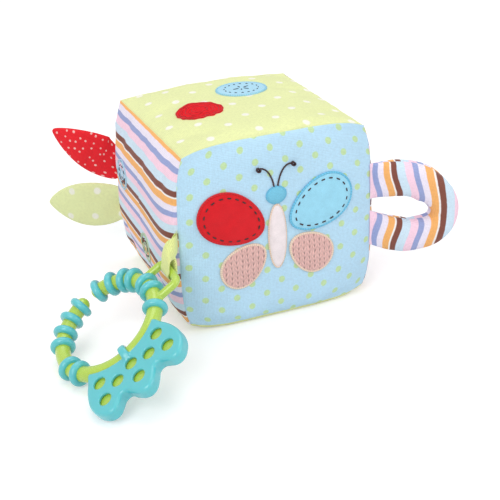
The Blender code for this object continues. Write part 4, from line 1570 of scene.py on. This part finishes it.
def makeCore():
    halfGap = math.asin(teether["gap"] / 2 / teether["ringRadius"])
    angles = np.linspace(math.radians(90) + halfGap, math.radians(450) - halfGap, 181)
    core = rodMesh("teetherCore", [ringPoint(a) for a in angles], teether["rodRadius"], True)
    reach, corner = teether["eyeHalfWidth"], teether["eyeCorner"]
    foot = teether["barReach"] - math.sqrt(teether["ringRadius"] ** 2 - reach ** 2)
    side = [Vector((reach, corner + (foot - corner) * k / 6, 0)) for k in range(6, -1, -1)]
    side += [Vector((reach - corner * (1 - math.cos(a)), corner * (1 - math.sin(a)), 0))
             for a in np.linspace(0, math.pi / 2, 9)[1:]]
    eyePath = side + [Vector((-p.x, p.y, 0)) for p in reversed(side)]
    eye = rodMesh("hangerEye", eyePath, teether["barRadius"], False)
    plate = outlineMesh(
        "plate", teether["plateHalfThickness"], teether["plateRound"], teether["plateInset"])
    selectOnly(core, eye, plate)
    bpy.ops.object.join()
    green = softPlastic("greenPlastic", "#B0CF46", 0.27)
    finishMoulding(core, 5, green, "green_plastic", "teether_core")


def makeGrip(turquoise):
    grip = outlineMesh("teetherGrip", teether["gripHalfThickness"], teether["gripRound"], 0)
    band = addShape("band", bpy.ops.mesh.primitive_cylinder_add, vertices=64,
                    radius=teether["rodRadius"] + teether["bandRise"], depth=2 * teether["ribWidth"])
    middle = Matrix.Translation(ringPoint(math.radians(-90)))
    band.matrix_world = middle @ Matrix.Rotation(math.pi / 2, 4, "X")
    settle(band)
    applyModifier(band, "BEVEL", width=teether["bandRound"], segments=5, limit_method="ANGLE")
    combine(grip, band, "UNION")
    rodSpace = addShape("rodSpace", bpy.ops.mesh.primitive_torus_add,
                        major_segments=160, minor_segments=32, location=(0, teether["barReach"], 0),
                        major_radius=teether["ringRadius"],
                        minor_radius=teether["rodRadius"] + teether["rodClearance"])
    settle(rodSpace)
    combine(grip, rodSpace, "DIFFERENCE")
    plateSpace = outlineMesh("plateSpace", teether["plateHalfThickness"] + teether["plateClearance"],
                             teether["plateRound"], teether["plateInset"] - 0.3 * mm)
    applyModifier(plateSpace, "REMESH", mode="VOXEL", voxel_size=teether["remesh"])
    combine(grip, plateSpace, "DIFFERENCE")
    for shares in teether["holes"]:
        window = addShape("window", bpy.ops.mesh.primitive_cylinder_add, vertices=48,
                          radius=teether["holeRadius"], depth=4 * teether["gripHalfThickness"],
                          location=gripPoint(*shares))
        settle(window)
        combine(grip, window, "DIFFERENCE")
    finishMoulding(grip, 6, turquoise, "turquoise_rubber", "teether_grip")


def makeRibs(turquoise):
    for index, degrees in enumerate(teether["ribAngles"]):
        angle = math.radians(degrees)
        rib = addShape(f"teetherRib{index + 1:02d}", bpy.ops.mesh.primitive_torus_add,
                       major_segments=56, minor_segments=20,
                       major_radius=teether["ribMiddle"], minor_radius=teether["ribWidth"])
        lean = teether["ribLean"] * noise.noise(Vector((index * 1.7, 0.3, 0.9)))
        smoothShade(rib)
        rib.matrix_world = (
            teetherFrame @ Matrix.Translation(ringPoint(angle)) @ Matrix.Rotation(-angle, 4, "Z")
            @ Matrix.Rotation(math.pi / 2, 4, "Y") @ Matrix.Rotation(math.radians(lean), 4, "X"))
        settle(rib)
        giveFinish(rib, turquoise, "turquoise_rubber", "teether", f"teether_rib_{index + 1:02d}")


makeCore()
rubber = softPlastic("turquoiseRubber", "#54C0C8", 0.36)
makeGrip(rubber)
makeRibs(rubber)
print("teether made")


# Ribbon doubled round the teether's bar

ribbon = {
    "seam": (-61.2 * mm, -56.45 * mm, 61.5 * mm),
    "width": 11 * mm,
    "thickness": 0.8 * mm,
    "shift": 1.2 * mm,
    "gap": 0.3 * mm,
    "rows": 120,
    "columns": 16,
    "runShare": 0.3,
    "bow": 1.8 * mm,
    "bulge": 0.5 * mm,
    "ripple": 0.12 * mm,
    "intoSeam": 2 * mm,
}


def makeRibbon():
    bar = Vector(teether["bar"])
    axis = (teetherTurn @ Vector((1, 0, 0, 0))).to_3d()
    reach = Vector(ribbon["seam"]) - bar
    rootShift = reach.dot(axis)
    toRoot = reach - axis * rootShift
    rootRun = toRoot.length - leaf["clearance"] - ribbon["thickness"]
    toRoot.normalize()
    wrap = teether["barRadius"] + ribbon["gap"] + ribbon["thickness"] / 2
    rootHalf = (ribbon["thickness"] + ribbon["gap"]) / 2
    leave = math.acos(wrap / math.hypot(rootRun, rootHalf)) + math.atan2(rootHalf, rootRun)
    start = rootRun + ribbon["intoSeam"]
    runShare = ribbon["runShare"]
    outside = toRoot.cross(axis).normalized()

    def place(u, v, lift):
        share = (u + 1) / 2
        side = 1 if share < 0.5 else -1
        near = min(share, 1 - share) / runShare
        if near < 1:
            along = start + (wrap * math.cos(leave) - start) * near
            aside = rootHalf + (wrap * math.sin(leave) - rootHalf) * near
            aside += ribbon["bulge"] * math.sin(math.pi * near) * (1 + 0.4 * side)
        else:
            turn = leave + (math.pi - leave) * (min(share, 1 - share) - runShare) / (0.5 - runShare)
            along, aside = wrap * math.cos(turn), wrap * math.sin(turn)
        reached = min(max(along / rootRun, 0), 1)
        upright = smoothStep(reached) ** 2.2
        wide = (axis * (1 - upright) + Vector((0, 0, 1)) * upright).normalized()
        face = toRoot.cross(wide).normalized()
        fromBar = toRoot * along + face * (aside * side)
        shift = ribbon["shift"] + (rootShift - ribbon["shift"]) * max(along, 0) / rootRun
        bowed = outside * ribbon["bow"] * math.sin(math.pi * reached)
        outward = face * side if near < 1 else fromBar.normalized()
        ripple = ribbon["ripple"] * math.sin(9 * share * math.pi) * v * v
        return (bar + axis * shift + fromBar + bowed + wide * (v * ribbon["width"] / 2)
                + outward * (lift + ripple))

    obj = addGrid("ribbonLoop", ribbon["rows"], ribbon["columns"], 2)
    flat = points(obj)
    half = ribbon["thickness"] / 2
    lifts = [half * (1 - 0.6 * abs(v) ** 12) for v in flat[:, 1]]
    movePoints(obj, [place(u, v, lift) for (u, v, _), lift in zip(flat, lifts)])
    writeUv(obj, flat[:, 0] / 2 + 0.5, flat[:, 1] / 2 + 0.5)
    closeUnder(obj, [place(u, v, -lift) for (u, v, _), lift in zip(flat, lifts)])
    cutLength = 2 * start + math.pi * wrap
    finish = grosgrain("limeGrosgrain", "#EAF29C", cutLength / mm, ribbon["width"] / mm)
    giveFinish(obj, finish, "lime_ribbon", "ribbon", "ribbon_loop")
    print("ribbon made,", round(cutLength / mm, 1), "mm of ribbon")


makeRibbon()


# Inside: stuffing round the rattle, and finishes for the nodes that stay as they are

inside = {
    "cuts": 14,
    "size": 0.955,
    "slack": 0.6 * mm,
    "lump": 0.8 * mm,
    "lumpWave": 12 * mm,
    "lumpSeed": 1.1,
    "rattleRoom": 0.4 * mm,
}


def makeStuffing():
    stuffing = cubeOfShares("blockStuffing", inside["cuts"])
    shares = points(stuffing)
    places = pillow(shares * inside["size"])
    normals = np.sign(shares) * (np.abs(shares) > 0.999)
    lumps = np.abs(noiseAll(places, inside["lumpWave"], inside["lumpSeed"]))
    places -= normals * (inside["slack"] + inside["lump"] * lumps)[:, None]
    movePoints(stuffing, places)
    low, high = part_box("rattle_shell_lower")[0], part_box("rattle_shell_upper")[1]
    pocket = addShape("pocket", bpy.ops.mesh.primitive_uv_sphere_add, segments=48, ring_count=24,
                      radius=(high.z - low.z) / 2 + inside["rattleRoom"], location=(low + high) / 2)
    combine(stuffing, pocket, "DIFFERENCE")
    smoothShade(stuffing, 40)
    fibre = bpy.data.materials["stuffingFibre"]
    giveFinish(stuffing, fibre, "polyester_fibre", "block", "filling_lower", "filling_upper")


def dressNodes():
    film = crackleFilm()
    shell = rattlePlastic("clearPlastic", "#E4ECF2", 0.85)
    bead = rattlePlastic("beadPlastic", "#F28C28", 0.0)
    for finish, names in (
            (film, ("red_leaf_film", "green_leaf_film")),
            (shell, ("rattle_shell_lower", "rattle_shell_upper")),
            (bead, ("rattle_bead_1", "rattle_bead_2", "rattle_bead_3"))):
        for name in names:
            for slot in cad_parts[name].material_slots:
                slot.material = finish


makeStuffing()
dressNodes()
print("inside made")
